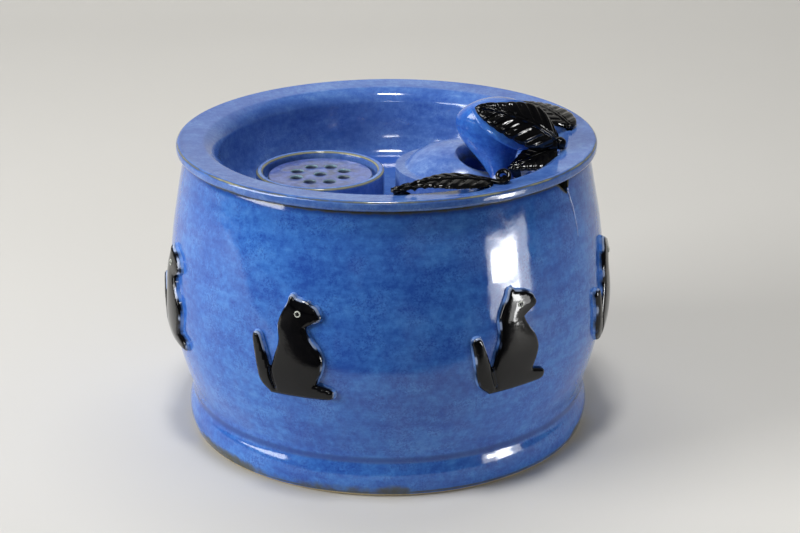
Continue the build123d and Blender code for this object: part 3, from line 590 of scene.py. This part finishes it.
def makeCatForm():
    look = catLook
    outline = catOutline()
    form = bmesh.new()
    sunk = 1.2
    rim = [form.verts.new((spot[0], spot[1], -sunk)) for spot in outline]
    face = form.faces.new(rim)
    face.normal_update()
    if face.normal.z < 0:
        bmesh.ops.reverse_faces(form, faces=[face])
        face.normal_update()
    # side wall, then a rounded shoulder made of small insets
    pulled = bmesh.ops.extrude_face_region(form, geom=[face])
    face = next(g for g in pulled["geom"] if isinstance(g, bmesh.types.BMFace))
    low = look["relief"] - look["crown"] - look["shoulder"]
    blankTop = look["relief"] - look["crown"] - 0.05
    bmesh.ops.translate(form, vec=(0, 0, low + sunk), verts=face.verts)
    steps = 6
    for step in range(1, steps + 1):
        before, after = radians(90 * (step - 1) / steps), radians(90 * step / steps)
        move = look["shoulder"] * (cos(before) - cos(after)) * 0.85
        bmesh.ops.inset_region(form, faces=[face], thickness=move, depth=0, use_even_offset=False)
        lift = look["shoulder"] * (sin(after) - sin(before))
        bmesh.ops.translate(form, vec=(0, 0, lift), verts=face.verts)
    # the foot of the relief runs out a little onto the wall
    for at, spot in enumerate(rim):
        side = Vector(outline[(at + 1) % len(rim)]) - Vector(outline[at - 1])
        spot.co.xy += Vector((side.y, -side.x)).normalized() * look["spread"]
    # the face is cut into cells, finer over the groove, so that it can take its relief
    lines = [(Vector((1, 0, 0)), x * look["cell"]) for x in range(-15, 18)]
    lines += [(Vector((0, 1, 0)), y * look["cell"]) for y in range(0, 40)]
    lines += [(Vector((1, 0, 0)), -13 + 0.45 * x) for x in range(14)]
    for way, at in lines:
        inner = [part for part in form.faces if part.calc_center_median().z > blankTop]
        if abs(way.x) > 0 and -13.1 <= at <= -7:
            onCell = abs(at % look["cell"]) < 0.01
            inner = [part for part in inner if part.calc_center_median().y < 22 or onCell]
        geom = set(inner)
        for part in inner:
            geom.update(part.edges)
            geom.update(part.verts)
        bmesh.ops.bisect_plane(form, geom=list(geom), plane_co=way * at, plane_no=way, dist=0.001)
    border = corners(*outline, outline[0])
    groove = softLine(look["groove"], [(0.1, -1), None, (0.5, -1)], 6)
    edge = form.verts.layers.float.new("edge")
    form.verts.layers.float.new("eye")
    flank = form.verts.layers.float.new("side")
    for spot in form.verts:
        flat = spot.co.xy
        wander = waver(flat, 0.16, 2)
        spot[flank] = clamp((1.5 + 1.1 * wander - spot.co.z) / 0.5)
        inside = awayFrom(flat, border)
        if spot.co.z > blankTop:
            spot.co.z += look["crown"] * (1 - 2.718 ** (-inside / 5.0)) - 0.02
        line = awayFrom(flat, groove)
        if line < 1.5 and spot.co.z > 0.5:
            spot.co.z -= 1.5 * (1 - (line / 1.5) ** 2)
            spot[edge] = 0.75 * near(line - 0.9, 0.55)
        # pale band along the outline: glaze breaking on the raised edge, and a painted highlight that grows
        # toward the head
        if spot.co.z > low + 0.2:
            breakAndHighlight = clamp(0.6 + 1.8 * wander + 0.012 * (flat.y - 30), high=1.2)
            spot[edge] = max(spot[edge], breakAndHighlight * near(inside - 0.35, 1.0))
    # eye: a fine raised ring round a small bead
    height = look["relief"] + 0.02
    for reach, girth in (look["eyeRing"], look["eyeBead"]):
        ring = bmesh.new()
        bmesh.ops.create_circle(ring, segments=10, radius=girth, matrix=Matrix.Rotation(pi / 2, 4, "X"))
        bmesh.ops.translate(ring, vec=(reach, 0, 0), verts=ring.verts)
        turnRound(ring, 28)
        closeUp(ring, 0.001)
        bmesh.ops.translate(ring, vec=(look["eye"][0], look["eye"][1], height - 0.12), verts=ring.verts)
        eyeMark = ring.verts.layers.float.new("eye")
        for spot in ring.verts:
            spot[eyeMark] = 1.0 if reach > 1 else 0.0
        eyeData = meshOf(ring, "eyeRing")
        form.from_mesh(eyeData)
        bpy.data.meshes.remove(eyeData)
    # wrap the flat cat onto the pot's wall
    for spot in form.verts:
        x, rise, proud = spot.co
        height = look["foot"] + rise
        reach = potRadius(height) + proud
        spot.co = Vector((x, -sqrt(reach**2 - x**2), height))
    return form


def makeCats():
    blank = makeCatForm()
    for number, angle in enumerate(catLook["angles"], start=1):
        form = blank.copy()
        turn = Matrix.Rotation(radians(angle), 3, "Z")
        bmesh.ops.rotate(form, cent=(0, 0, 0), matrix=turn, verts=form.verts)
        setDown(form, f"sitting_cat_{number}", "reservoir", catGlaze, 50)
    blank.free()


makeCats()
print("cats pressed on")


basinLook = {
    "rim": 125.0, "seat": 172.5, "rimTop": 178.7, "lip": (101.0, 176.7), "floor": (84.0, 136.0),
    "under": 129.5, "wall": 6.5, "edgeRound": 2.2, "ring": 112.2, "ringDepth": 5.0, "segments": 288,
    "drain": (-39.95, 0.0, 27.55), "riser": (56.5, -16.0, 7.25), "floorFrom": 79.0, "gapHalf": 9.0,
}


def basinProfile():
    look = basinLook
    rim, seat, top, soft = look["rim"], look["seat"], look["rimTop"], look["edgeRound"]
    lip, lipLevel = look["lip"]
    ringFoot = seat - look["ringDepth"]
    inner = softLine([look["lip"], look["floor"]], [(-0.12, -1), (-1, -0.1)], 40)
    inner.reverse()
    flange = [Vector((lip + (rim - lip) * s / 16, lipLevel + 2 * s / 16)) for s in range(1, 15)]
    above = easeCorner(inner + flange, look["lip"], 7.0, 40)
    edge = arcLine((rim - soft, top - soft), soft, 86, 0, 10)
    edge += arcLine((rim - soft, seat + soft), soft, 0, -90, 10)
    ring = corners((look["ring"] + 6, seat), (look["ring"] + 0.4, seat), (look["ring"], seat - 0.4))
    ring += corners((look["ring"], ringFoot + 0.6), (look["ring"] - 0.6, ringFoot))
    underside = [(lip + look["wall"] - 1, ringFoot), (look["floor"][0] + 4, look["under"])]
    under = softLine(underside, [(-0.12, -1), (-1, -0.15)], 16)
    start = corners((look["floorFrom"], look["floor"][1]))
    return start + above + edge + ring + under + corners((look["floorFrom"], look["under"]))


def makeBasin():
    look = basinLook
    form = turnOnWheel(basinProfile(), look["segments"])
    # floor above and below, with the drain and the riser's hole bridged through
    loops = {}
    for height in (look["floor"][1], look["under"]):
        border = [e for e in form.edges if e.is_boundary]
        border = [e for e in border if all(abs(spot.co.z - height) < 0.01 for spot in e.verts)]
        holes = []
        for x, y, radius in (look["drain"], look["riser"]):
            place = Matrix.Translation((x, y, height))
            made = bmesh.ops.create_circle(form, segments=96, radius=radius, matrix=place)
            holes.append({edge for spot in made["verts"] for edge in spot.link_edges})
        loops[height] = holes
        border += [edge for hole in holes for edge in hole]
        bmesh.ops.triangle_fill(form, use_beauty=True, edges=border)
    for upper, lower in zip(loops[look["floor"][1]], loops[look["under"]]):
        bmesh.ops.bridge_loops(form, edges=list(upper | lower))
    # the locating ring is left open where the cord passes
    for spot in form.verts:
        across = fromAxis(spot.co)
        if 108 < across < look["ring"] + 0.2 and spot.co.z < look["seat"] - 0.2:
            turn = atan2(spot.co.x, -spot.co.y) - radians(potLook["notchAngle"])
            if abs(across * turn) < look["gapHalf"]:
                spot.co.z = look["seat"]
    rimLine = (look["rim"] - 0.7, look["rimTop"] - 0.7)

    def edgeShade(co):
        across = fromAxis(co)
        wander = waver(co, 0.05)
        top = (0.72 + 0.3 * wander) * near(hypot(across - rimLine[0], co.z - rimLine[1]), 1.15)
        low = (0.5 + 0.2 * wander) * near(hypot(across - look["rim"] + 0.6, co.z - look["seat"] - 0.7), 1.6)
        return max(top, low)

    # darker in the inner corner of wall and floor: pooled glaze and painted shade
    def poolShade(co):
        across = fromAxis(co)
        corner = near(hypot(across - look["floor"][0] + 3, co.z - look["floor"][1]), 9)
        return 0.7 * corner if across < look["lip"][0] else 0

    paint(form, edge=edgeShade, pool=poolShade)
    setDown(form, "drinking_basin", "basin", blueGlazes["basin"])


makeBasin()
print("basin thrown")


collarLook = {
    "middle": (-39.95, 0.0), "outer": 38.65, "bore": 34.25, "drain": 27.55, "floor": 136.0,
    "ledge": 148.0, "top": 157.0, "soft": 1.9,
}


def makeCollar():
    look = collarLook
    soft, outer, bore, drain = look["soft"], look["outer"], look["bore"], look["drain"]
    floor, ledge, top = look["floor"], look["ledge"], look["top"]
    profile = corners((drain, floor - 1), (drain, ledge - 0.8), (drain + 0.8, ledge))
    profile += corners((bore - 0.6, ledge), (bore, ledge + 0.6), (bore, top - 4))
    profile += arcLine((bore + soft, top - soft), soft, 180, 90, 8)
    profile += arcLine((outer - soft, top - soft), soft, 90, 0, 8)
    foot = [(outer, top - 8), (outer + 0.1, floor + 3), (outer + 1.6, floor + 0.4)]
    profile += softLine(foot, [(0, -1), (0.05, -1), (0.8, -0.6)], 8)
    profile += corners((outer + 1.8, floor - 1))
    form = turnOnWheel(profile, 160, look["middle"], closed=True)

    def edgeShade(co):
        across, rise = fromAxis(co, look["middle"]), co.z - top + 0.6
        onOuter = near(hypot(across - outer + 0.5, rise), 1.2)
        return max(onOuter, near(hypot(across - bore - 0.5, rise), 1.2))

    # darker at the foot where the collar meets the floor: pooled glaze and painted shade
    def poolShade(co):
        return 0.8 * near(co.z - floor, 5) if co.z < floor + 5 else 0

    paint(form, edge=edgeShade, pool=poolShade)
    setDown(form, "drain_collar", "basin", blueGlazes["collar"])


strainerLook = {
    "radius": 31.45, "base": 148.0, "thick": 5.6, "hole": 3.4, "circle": 15.32, "count": 8,
    "start": 22.5, "soft": 0.9,
}


def makeStrainer():
    look = strainerLook
    middle = Vector((*collarLook["middle"], 0))
    turns = [radians(look["start"] + 360 / look["count"] * step) for step in range(look["count"])]
    holes = [middle] + [middle + Vector((cos(a), sin(a), 0)) * look["circle"] for a in turns]
    form = bmesh.new()
    level = Vector((0, 0, look["base"]))
    circles = [(middle, look["radius"], 128)] + [(hole, look["hole"], 32) for hole in holes]
    for place, radius, segments in circles:
        seat = Matrix.Translation(place + level)
        bmesh.ops.create_circle(form, segments=segments, radius=radius, matrix=seat)
    bmesh.ops.triangle_fill(form, use_beauty=True, edges=form.edges)
    moveOut(form, bmesh.ops.extrude_face_region(form, geom=form.faces[:]), (0, 0, look["thick"]))
    bmesh.ops.recalc_face_normals(form, faces=form.faces)
    top = look["base"] + look["thick"]
    rims = [e for e in form.edges if min(spot.co.z for spot in e.verts) > top - 0.01]
    rims = [e for e in rims if e.calc_face_angle(0) > 1]
    roundEdges(form, rims, look["soft"], 4)

    def edgeShade(co):
        if co.z < look["base"] + 1:
            return 0
        reach = min((co - hole - Vector((0, 0, co.z))).length for hole in holes)
        outer = near((co.xy - middle.xy).length - look["radius"], 1.4) * 0.7
        return max(0.8 * near(reach - look["hole"] - 0.3, 1.0), outer)

    # painted shade: the holes' walls, the sides and the underside are darkened
    paint(form, edge=edgeShade, pool=lambda co: 0.9 if co.z < top - 2 else 0)
    setDown(form, "strainer_disc", "strainer", blueGlazes["strainer"])


makeCollar()
makeStrainer()
print("drain made")


moundLook = {
    "middle": (46.0, 0.0), "radius": 41.0, "height": 36.0, "fullness": 2.5, "base": 136.0,
    "well": (56.5, -16.0), "wellRadius": 11.5, "wellFloor": 157.8, "lipLevel": 169.8, "bore": 7.25,
    "flare": 4.0, "flareDepth": 7.0, "ease": 1.1, "segments": 176, "rings": 60,
}


def moundLevel(x, y):
    # height of the mound's outside over a place
    look = moundLook
    share = min(1.0, fromAxis((x, y), look["middle"]) / look["radius"])
    return look["base"] + look["height"] * (1 - share ** look["fullness"]) ** (1 / look["fullness"])


def makeMound():
    look = moundLook
    well, bore = Vector(look["well"]), look["bore"]
    start, base, floor = look["wellRadius"], look["base"], look["wellFloor"]
    flare, flareDepth, ease = look["flare"], look["flareDepth"], look["ease"]
    pitch, aloft = 0.02, 200  # the dome's rings wait close together, high up, until they are placed
    # rings about the well: bore, well floor, well wall, then the dome out to its base
    profile = [(bore, base - 0.4), (bore, floor - 0.6), (bore + 0.6, floor), (start - 1.5, floor)]
    profile += [(start - 0.4, floor + 0.3), (start, floor + 1.4)]
    profile += [(start + pitch * (step + 1), aloft) for step in range(look["rings"] + 1)]
    profile += [(start + 30, base - 0.4)]
    form = turnOnWheel(profile, look["segments"], look["well"], closed=True)
    offset = well - Vector(look["middle"])
    for spot in form.verts:
        away = spot.co.xy - well
        reach = away.length
        if reach < start + 0.01:
            continue
        way = away / reach
        # distance from the well's axis to the dome's base circle in this direction
        lean = way.dot(offset)
        edge = -lean + sqrt(lean**2 - offset.length_squared + look["radius"] ** 2)
        if spot.co.z < aloft - 1:
            spot.co.xy = well + way * (edge + 0.6)
            continue
        step = round((reach - start) / pitch - 1)
        share = step / look["rings"]
        share = share * 0.35 + (1 - (1 - share) ** 2.2) * 0.65
        far = start + 0.05 + share * (edge - start - 0.05)
        place = well + way * far
        dome = moundLevel(place.x, place.y)
        rise = min(1.0, (far - start) / flare)
        funnel = look["lipLevel"] - flareDepth + flareDepth * sin(rise * pi / 2) ** 1.4
        funnel += max(0, far - start - flare) * 3
        # the lower of dome and funnel, with a soft change from one to the other
        gap = max(ease - abs(dome - funnel), 0) / ease
        spot.co.xy = place
        spot.co.z = max(floor + 1.5, min(dome, funnel) - gap**2 * ease / 4)
        if step == look["rings"]:
            spot.co.z = base - 0.2

    def edgeShade(co):
        ring = fromAxis(co, look["well"]) - start - flare * 0.4
        return 0.62 * near(ring, 2.4) if co.z > 160 else 0

    # painted shade: the well is painted fully dark, and the dome's foot darker where it meets the floor,
    # with pooled glaze there
    def poolShade(co):
        low = 0.7 * near(co.z - base, 4) if co.z < base + 4 else 0
        shadedWell = fromAxis(co, look["well"]) < start + 0.2 and co.z < 168
        return 1.0 if shadedWell else low

    paint(form, edge=edgeShade, pool=poolShade)
    setDown(form, "splash_mound", "basin", blueGlazes["mound"], 50)


makeMound()
print("mound made")

gourdLook = {
    "foot": Vector((67.2, -28.0, 158.9)), "lean": Vector((-7.3, 19.4, 43.9)), "neck": 7.2,
    "belly": 21.8, "bellyAt": 36.4, "length": 48.55, "root": 27.0, "sunk": 0.25,
}


def turnedMatrix(origin, along, across):
    # frame whose z runs along a way and whose x lies near another
    upward = Vector(along).normalized()
    side = (Vector(across) - upward * upward.dot(Vector(across))).normalized()
    turned = Matrix((side, upward.cross(side), upward)).transposed().to_4x4()
    return Matrix.Translation(origin) @ turned


def makeGourd():
    look = gourdLook
    neck, root = look["neck"], look["root"]
    profile = corners((0, -root), (neck - 0.6, -root), (neck, -root + 0.6))
    profile += corners(*[(neck, -root * share) for share in (0.8, 0.6, 0.4, 0.2)])
    side = [(neck, 0), (look["belly"], look["bellyAt"]), (0, look["length"])]
    profile += softLine(side, [(0, 1), (0, 1), (-1, 0)], 34)
    form = turnOnWheel(profile, 144)
    for spot in form.verts:
        swell = 0.25 * noise.noise(spot.co * 0.05) - look["sunk"]
        if spot.co.z > 2 and spot.co.xy.length > 1:
            spot.co.xy *= 1 + swell / spot.co.xy.length
    # painted shade: darker low on the neck, where it meets the mound under the bulb
    paint(form, edge=lambda co: 0, pool=lambda co: 0.5 * near(co.z - 2, 9))
    stand = turnedMatrix(look["foot"], look["lean"], (1, 0, 0))
    bmesh.ops.transform(form, matrix=stand, verts=form.verts)
    setDown(form, "outlet_hood", "basin", blueGlazes["gourd"], 50, "outletGourd")


makeGourd()
gourdMiddle = gourdLook["foot"] + gourdLook["lean"].normalized() * gourdLook["bellyAt"]
print("gourd made")


rimTop = basinLook["rimTop"]
leafLook = {"full": (0.5, 0.5), "bend": 110.0, "lobes": 8, "carve": 1.3}  # unless a leaf says otherwise
leafLooks = {
    "hood_leaf": {
        "base": Vector((98, -26, rimTop + 2.0)), "tip": gourdMiddle + Vector((-11.5, -14.5, 10)),
        "rise": (0.1, -0.85, 0.7), "width": 27.0, "full": (0.5, 0.74), "bend": 42.0, "lobes": 7,
        "lean": 1.0,
    },
    "back_leaf": {
        "base": Vector((111, 8, rimTop - 1.6)), "tip": Vector((84, 60, rimTop - 1.0)),
        "rise": (0, 0, 1), "width": 24.0, "lean": 0.6, "carve": 0.9,
    },
    "side_leaf": {
        "base": Vector((99, -30, rimTop - 3.0)), "tip": Vector((70, -42, rimTop - 11.0)),
        "rise": (-0.35, -0.7, 1), "width": 22.0, "lobes": 7, "lean": 0.9, "carve": 0.4,
    },
    "rim_leaf": {
        "base": Vector((57, -94.5, rimTop - 1.4)), "tip": Vector((2, -109, rimTop - 1.4)),
        "rise": (0, -0.12, 1), "width": 20.0, "full": (0.34, 0.34), "lean": 0.95,
    },
}
leafSize = {"top": 3.4, "thick": 2.0, "grow": 1.0}
bedSize = {"top": 1.2, "thick": 1.4, "grow": 1.13}
bedShift = {"base": 0.16, "tip": Vector((-1.5, -1.0, -0.6))}  # share of the leaf's length, millimetres


def leafForm(changes, size):
    # a blade on a spherical bend: lobes between the side veins, a raised midrib, a wavy margin
    look = {**leafLook, **changes}
    top, grow = size["top"], size["grow"]
    span = look["tip"] - look["base"]
    length = span.length
    bend = look["bend"]
    sag = bend - sqrt(bend**2 - (length / 2) ** 2)
    upward = span.cross(Vector(look["rise"])).cross(span).normalized()
    seat = turnedMatrix(look["base"], upward, span)
    half = look["width"] / 2 * grow
    margins = []
    # full: each side's half width at three quarters of the length, as a share of the widest
    for full in look["full"]:
        places = [(0, 0), (0.36 * length, half), (0.76 * length, full * half), (length, 0)]
        margins.append(softLine(places, [(0.25, 1), (1, 0), None, (0.45, -1)], 40))
    form = bmesh.new()
    bmesh.ops.create_grid(form, x_segments=120, y_segments=56, size=1)
    edge = form.verts.layers.float.new("edge")
    form.verts.layers.float.new("pool")
    carveDepth = look["carve"] if grow == 1.0 else 0.0
    for spot in form.verts:
        row = round((spot.co.x + 1) / 2 * (len(margins[0]) - 1))
        across = spot.co.y
        x = (margins[0][row][0] + margins[1][row][0]) / 2
        wide = margins[across > 0][row][1]
        side = abs(across)
        lobe = look["lobes"] * (x - look["lean"] * side * wide * 0.9) / length
        swell = sqrt(abs(sin(pi * lobe)))  # 0 on a vein, 1 in the middle of a lobe
        if carveDepth:
            wide *= 1 - 0.07 * (1 - swell)
        y = across * wide
        fall = max(0.0, 1 - side**5)
        rib = near(abs(y), 0.8)
        crease = near(abs(abs(y) - 1.25), 0.7)
        local = top * (0.45 + 0.55 * sqrt(fall)) - carveDepth * (1 - swell) * min(1, 3 * side) * fall
        local += 0.1 * carveDepth * cos(6 * pi * lobe) * min(1, 3 * side) * fall
        local += 0.25 * rib * carveDepth - 0.5 * crease * carveDepth * (x / length < 0.94)
        ball = bend + local
        z = sag - bend + sqrt(ball**2 - (x - length / 2) ** 2 - y**2)
        spot.co = seat @ Vector((x, y, z))
        if carveDepth:
            vein = 0.62 * near(swell - 0.42, 0.16) * min(1, 2 * side)
            spot[edge] = max(0.55 * near(side - 1.0, 0.09), vein, 0.4 * rib)
    closeUp(form, 0.01)
    centre = look["base"] + span / 2
    middle = min(form.faces, key=lambda face: (face.calc_center_median() - centre).length)
    if middle.normal.dot(upward) < 0:
        bmesh.ops.reverse_faces(form, faces=form.faces)
    bmesh.ops.solidify(form, geom=form.faces[:], thickness=size["thick"])
    return form


def makeLeaves():
    for node, look in leafLooks.items():
        setDown(leafForm(look, leafSize), node, "basin", leafGlaze, 62)
    # thin blue bed under the hood's leaf
    leaf = leafLooks["hood_leaf"]
    base = leaf["base"].lerp(leaf["tip"], bedShift["base"])
    bed = dict(leaf, base=base, tip=leaf["tip"] + bedShift["tip"])
    setDown(leafForm(bed, bedSize), "", "basin", blueGlazes["gourd"], 62, "leafBed")


makeLeaves()
print("leaves carved")


tendrilLook = {
    "curl": 4.3, "curlAt": (63.5, -89.5, rimTop - 1.8), "loop": 4.6,
    "loopAt": (100, -8, rimTop - 1), "bud": 4.6, "budAt": (95.5, -28, rimTop + 0.6), "thick": 0.001,
}


def makeTendril(node, places, girths):
    metres = [place * 0.001 for place in places]
    piece = roundRod(camel(node), metres, girths, tendrilLook["thick"], (8, 16), leafGlaze)
    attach(piece, "basin")
    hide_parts(node)


def makeTendrils():
    look = tendrilLook
    x, y, z = look["curlAt"]
    seat = turnedMatrix((x, y, z + look["curl"]), (-0.25, -0.6, 0.75), (0.85, -0.45, -0.1))
    places = [seat @ Vector((x, -look["curl"] - 0.1, 0)) for x in (-13.5, -10.5, -7.5, -4.5, -1.8)]
    girths = [0.9, 1.25, 1.5, 1.45, 1.5]
    for step in range(15):
        turn = radians(-70 + 31 * step)
        reach = look["curl"] * (1.04 - 0.047 * step)
        places.append(seat @ Vector((reach * cos(turn), reach * sin(turn), 0.05 * step)))
        girths.append(1.6 - 0.035 * step)
    girths[-1] = 1.25
    makeTendril("front_tendril", places, girths)
    seat = turnedMatrix(look["loopAt"], (0.8, -0.3, 0.5), (0.3, 1, 0))
    turns = [radians(-45 + 26 * step) for step in range(12)]
    places = [seat @ Vector((look["loop"] * cos(a), 2.3 + look["loop"] * sin(a), 0)) for a in turns]
    makeTendril("back_tendril", places, [1.1] * len(places))


def makeBud():
    look = tendrilLook
    form = bmesh.new()
    for offset, size in ((Vector((0, 0, 0)), 1.0), (Vector((1.2, 0.65, 0.11)), 0.85)):
        made = bmesh.ops.create_uvsphere(form, u_segments=48, v_segments=32, radius=look["bud"] * size)
        knob = made["verts"]
        for spot in knob:
            # petals folded round the tip
            around = atan2(spot.co.y, spot.co.x)
            tilt = acos(clamp(spot.co.z / spot.co.length, -1))
            fold = abs(sin(2.5 * around + 1.3 * tilt)) ** 0.6
            spot.co *= 1 - 0.07 * (1 - fold) * sin(tilt) ** 0.5 - 0.01
        tipped = Matrix.Rotation(radians(68), 3, "X") @ Matrix.Rotation(radians(30 * size), 3, "Z")
        bmesh.ops.rotate(form, cent=(0, 0, 0), matrix=tipped, verts=knob)
        bmesh.ops.translate(form, vec=Vector(look["budAt"]) + offset * look["bud"], verts=knob)
    paint(form, edge=lambda co: 0.35)
    setDown(form, "vine_bud", "basin", leafGlaze, 60)


makeTendrils()
makeBud()
print("tendrils and bud set")


plasticLooks = {  # colour, darker, roughness, scale of the grain, its depth where it isn't the usual one
    "pump_plastic": (tone(38, 39, 42), tone(28, 29, 32), 0.42, 1800),
    "gate_plastic": (tone(196, 92, 40), tone(180, 80, 34), 0.38, 1500),
    "rotor_plastic": (tone(206, 208, 204), tone(190, 193, 190), 0.34, 1500),
    "potting_resin": (tone(24, 22, 22), tone(14, 13, 14), 0.16, 300, 0.0001),
    "shaft_ceramic": (tone(236, 232, 222), tone(226, 221, 210), 0.2, 900),
    "cup_rubber": (tone(44, 45, 47), tone(32, 33, 35), 0.62, 2400),
}
metalLooks = {  # stripes' scale, wander and way, darker, colour, scale of the wear, roughness, depth
    "core_steel": (260.0, 0.4, "X", tone(96, 98, 102), tone(168, 170, 174), 300, (0.3, 0.45), 0.00004),
    "coil_copper": (420.0, 0.6, "Z", tone(110, 48, 22), tone(204, 112, 62), 400, (0.22, 0.36), 0.0001),
}


def mouldedPlastic(name, colour, darker, roughness, grainScale, depth=0.00002):
    plastic = Finish(name)
    cast = plastic.blend(plastic.span(plastic.grain(40, 3), 0.3, 0.7), darker, colour)
    dull = plastic.span(plastic.grain(120, 3), 0.3, 0.7, roughness - 0.06, roughness + 0.06)
    return plastic.wear(cast, dull, plastic.grain(grainScale, 2, 0.7), depth, IOR=1.49)


def stripedMetal(name, scale, wander, way, darker, colour, grainScale, dull, depth):
    # stacked sheets seen from their edges, or turns of enamelled wire
    metal = Finish(name)
    stripes = {"Vector": metal.place, "Scale": scale, "Distortion": wander}
    waves = metal.node("ShaderNodeTexWave", stripes, bands_direction=way).outputs["Fac"]
    shade = metal.blend(waves, darker, colour)
    roughness = metal.span(metal.grain(grainScale, 2), 0.3, 0.7, *dull)
    return metal.wear(shade, roughness, waves, depth, Metallic=1.0)


def foamFinish():
    # open cells
    foam = Finish("filterFoam")
    cells = foam.node("ShaderNodeTexVoronoi", {"Vector": foam.place, "Scale": 900.0})
    shade = foam.blend(foam.span(cells.outputs["Distance"], 0.1, 0.6), tone(16, 17, 20), tone(58, 60, 66))
    return foam.wear(shade, 0.95, cells.outputs["Distance"], 0.0006)


def tubeFinish():
    # milky silicone
    tube = Finish("clearTube")
    milk = tube.blend(tube.span(tube.grain(50, 2), 0.3, 0.7), tone(214, 220, 222), tone(232, 236, 236))
    dull = tube.span(tube.grain(90, 2), 0.3, 0.7, 0.18, 0.3)
    return tube.wear(milk, dull, IOR=1.41, Transmission_Weight=0.6)


pumpFinishes = {slotName: mouldedPlastic(camel(slotName), *look) for slotName, look in plasticLooks.items()}
for slotName, look in metalLooks.items():
    pumpFinishes[slotName] = stripedMetal(camel(slotName), *look)
pumpFinishes["filter_foam"] = foamFinish()
pumpFinishes["clear_tube"] = tubeFinish()
slotOf = {part["node"]: part["material_slot"] for part in frame["record"]["subparts"]}
pumpLook = {"soft": 0.25, "sharpFrom": 32}


def makePumpPart(node):
    # smooth copy of the solid with its moulded edges slightly rounded
    solid = frame["nodes"][node]
    form = bmesh.new()
    form.from_mesh(solid.data)
    bmesh.ops.scale(form, vec=(1000, 1000, 1000), verts=form.verts)
    closeUp(form, 0.01)
    flat = radians(1)
    bmesh.ops.dissolve_limit(form, angle_limit=flat, verts=form.verts, edges=form.edges, delimit={"NORMAL"})
    slotName, sharpFrom = slotOf[node], pumpLook["sharpFrom"]
    piece = setDown(form, node, solid["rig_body"], pumpFinishes[slotName], sharpFrom)
    soften = piece.modifiers.new("soften", "BEVEL")
    soften.width = pumpLook["soft"] * 0.001
    soften.segments = 2
    soften.limit_method = "ANGLE"
    soften.angle_limit = radians(sharpFrom)


pumpParts = [node for node, slotName in slotOf.items() if slotName in pumpFinishes]
for node in pumpParts:
    makePumpPart(node)
print("pump parts set down:", len(pumpParts))


studioLook = {"front": -6.0, "bendFrom": 1.0, "bend": 0.9, "top": 2.6, "half": 6, "roomFrom": -0.26}


def makeStudio():
    look = studioLook
    sweep = bmesh.new()
    path = [(look["front"], 0.0), (0.0, 0.0)]
    for angle in range(0, 91, 6):
        turn, bend = radians(angle), look["bend"]
        path.append((look["bendFrom"] + bend * sin(turn), bend - bend * cos(turn)))
    path.append((look["bendFrom"] + look["bend"], look["top"]))
    spots = [sweep.verts.new((-look["half"], y, z)) for y, z in path]
    edges = [sweep.edges.new(pair) for pair in zip(spots, spots[1:])]
    moveOut(sweep, bmesh.ops.extrude_edge_only(sweep, edges=edges), (2 * look["half"], 0, 0))
    data = meshOf(sweep, "paperSweep")
    data.shade_smooth()
    paper = Finish("paper")
    shade = paper.blend(paper.grain(2.2, 2), tone(203, 201, 196), tone(209, 207, 202))
    # the glaze mirrors a darker room beyond the paper's front
    ahead = paper.node("ShaderNodeSeparateXYZ", {0: paper.place}).outputs["Y"]
    seen = paper.node("ShaderNodeLightPath").outputs["Is Camera Ray"]
    room = paper.span(ahead, look["roomFrom"] - 0.05, look["roomFrom"], 1, 0)
    dark = paper.times(room, paper.maths("SUBTRACT", 1.0, seen))
    shade = paper.blend(dark, shade, tone(30, 30, 32))
    data.materials.append(paper.wear(shade, 0.85, paper.grain(300, 2), 0.00002))
    floor = bringIn("paperSweep", data)


def facing(place, target):
    # matrix of a lamp or camera that looks from a place at a target
    way = Vector(target) - Vector(place)
    return Matrix.Translation(place) @ way.to_track_quat("-Z", "Y").to_matrix().to_4x4()


roomLook = {"colour": (0.97, 0.98, 1.0, 1), "strength": 0.08}
onPot = (0.075, -0.107, 0.14)
lampLooks = {  # place, target, size, watts, and the kind of light it leaves out
    "leftWindow": ((-1.565, -0.508, 0.70), (0, 0, 0.1), (1.0, 0.9), 31, ""),
    "ceiling": ((-0.04, -0.3, 1.75), (0, 0, 0), (0.24, 0.3), 12, ""),
    "backdropLamp": ((0.0, 0.6, 2.3), (0, 1.6, 0.5), (2.0, 0.5), 25, "glossy"),
    "rightCard": ((0.437, -0.276, 0.08), onPot, (0.205, 0.13), 0.5, ""),
    "rightGlowHigh": ((0.41, -0.285, 0.108), onPot, (0.12, 0.045), 0.46, "diffuse"),
    "rightGlowLow": ((0.422, -0.262, 0.045), onPot, (0.08, 0.06), 0.35, "diffuse"),
    "frontLamp": ((-0.1, -1.5, 0.85), (0, 0, 0.15), (0.3, 0.1), 1.6, "diffuse"),
    "leftLamp": ((-0.91, -0.69, 0.84), (0, 0, 0.1), (0.5, 0.24), 4, "diffuse"),
}


def makeLight():
    world = bpy.data.worlds.new("room")
    world.use_nodes = True
    background = world.node_tree.nodes["Background"].inputs
    background["Color"].default_value = roomLook["colour"]
    background["Strength"].default_value = roomLook["strength"]
    bpy.context.scene.world = world
    for name, (place, target, size, watts, leftOut) in lampLooks.items():
        data = bpy.data.lights.new(name, "AREA")
        data.shape = "RECTANGLE"
        data.size, data.size_y = size
        data.energy = watts
        lamp = bringIn(name, data)
        lamp.matrix_world = facing(place, target)
        lamp.visible_diffuse = leftOut != "diffuse"
        lamp.visible_glossy = leftOut != "glossy"


cameraLook = {
    "sensor": 22.3, "lens": 50.11, "shift": (12.68 / 800, 20.67 / 800),
    "place": (0, -1.0292, 0.4919), "target": (0, 0, 0.080), "roll": -0.31,
}


def makeCamera():
    look = cameraLook
    data = bpy.data.cameras.new("camera")
    data.sensor_width = look["sensor"]
    data.lens = look["lens"]
    data.shift_x, data.shift_y = look["shift"]
    camera = bringIn("camera", data)
    roll = Matrix.Rotation(radians(look["roll"]), 4, "Z")
    camera.matrix_world = facing(look["place"], look["target"]) @ roll
    bpy.context.scene.camera = camera


makeStudio()
makeLight()
makeCamera()
bpy.context.scene.view_settings.view_transform = "Standard"
print("studio lit")
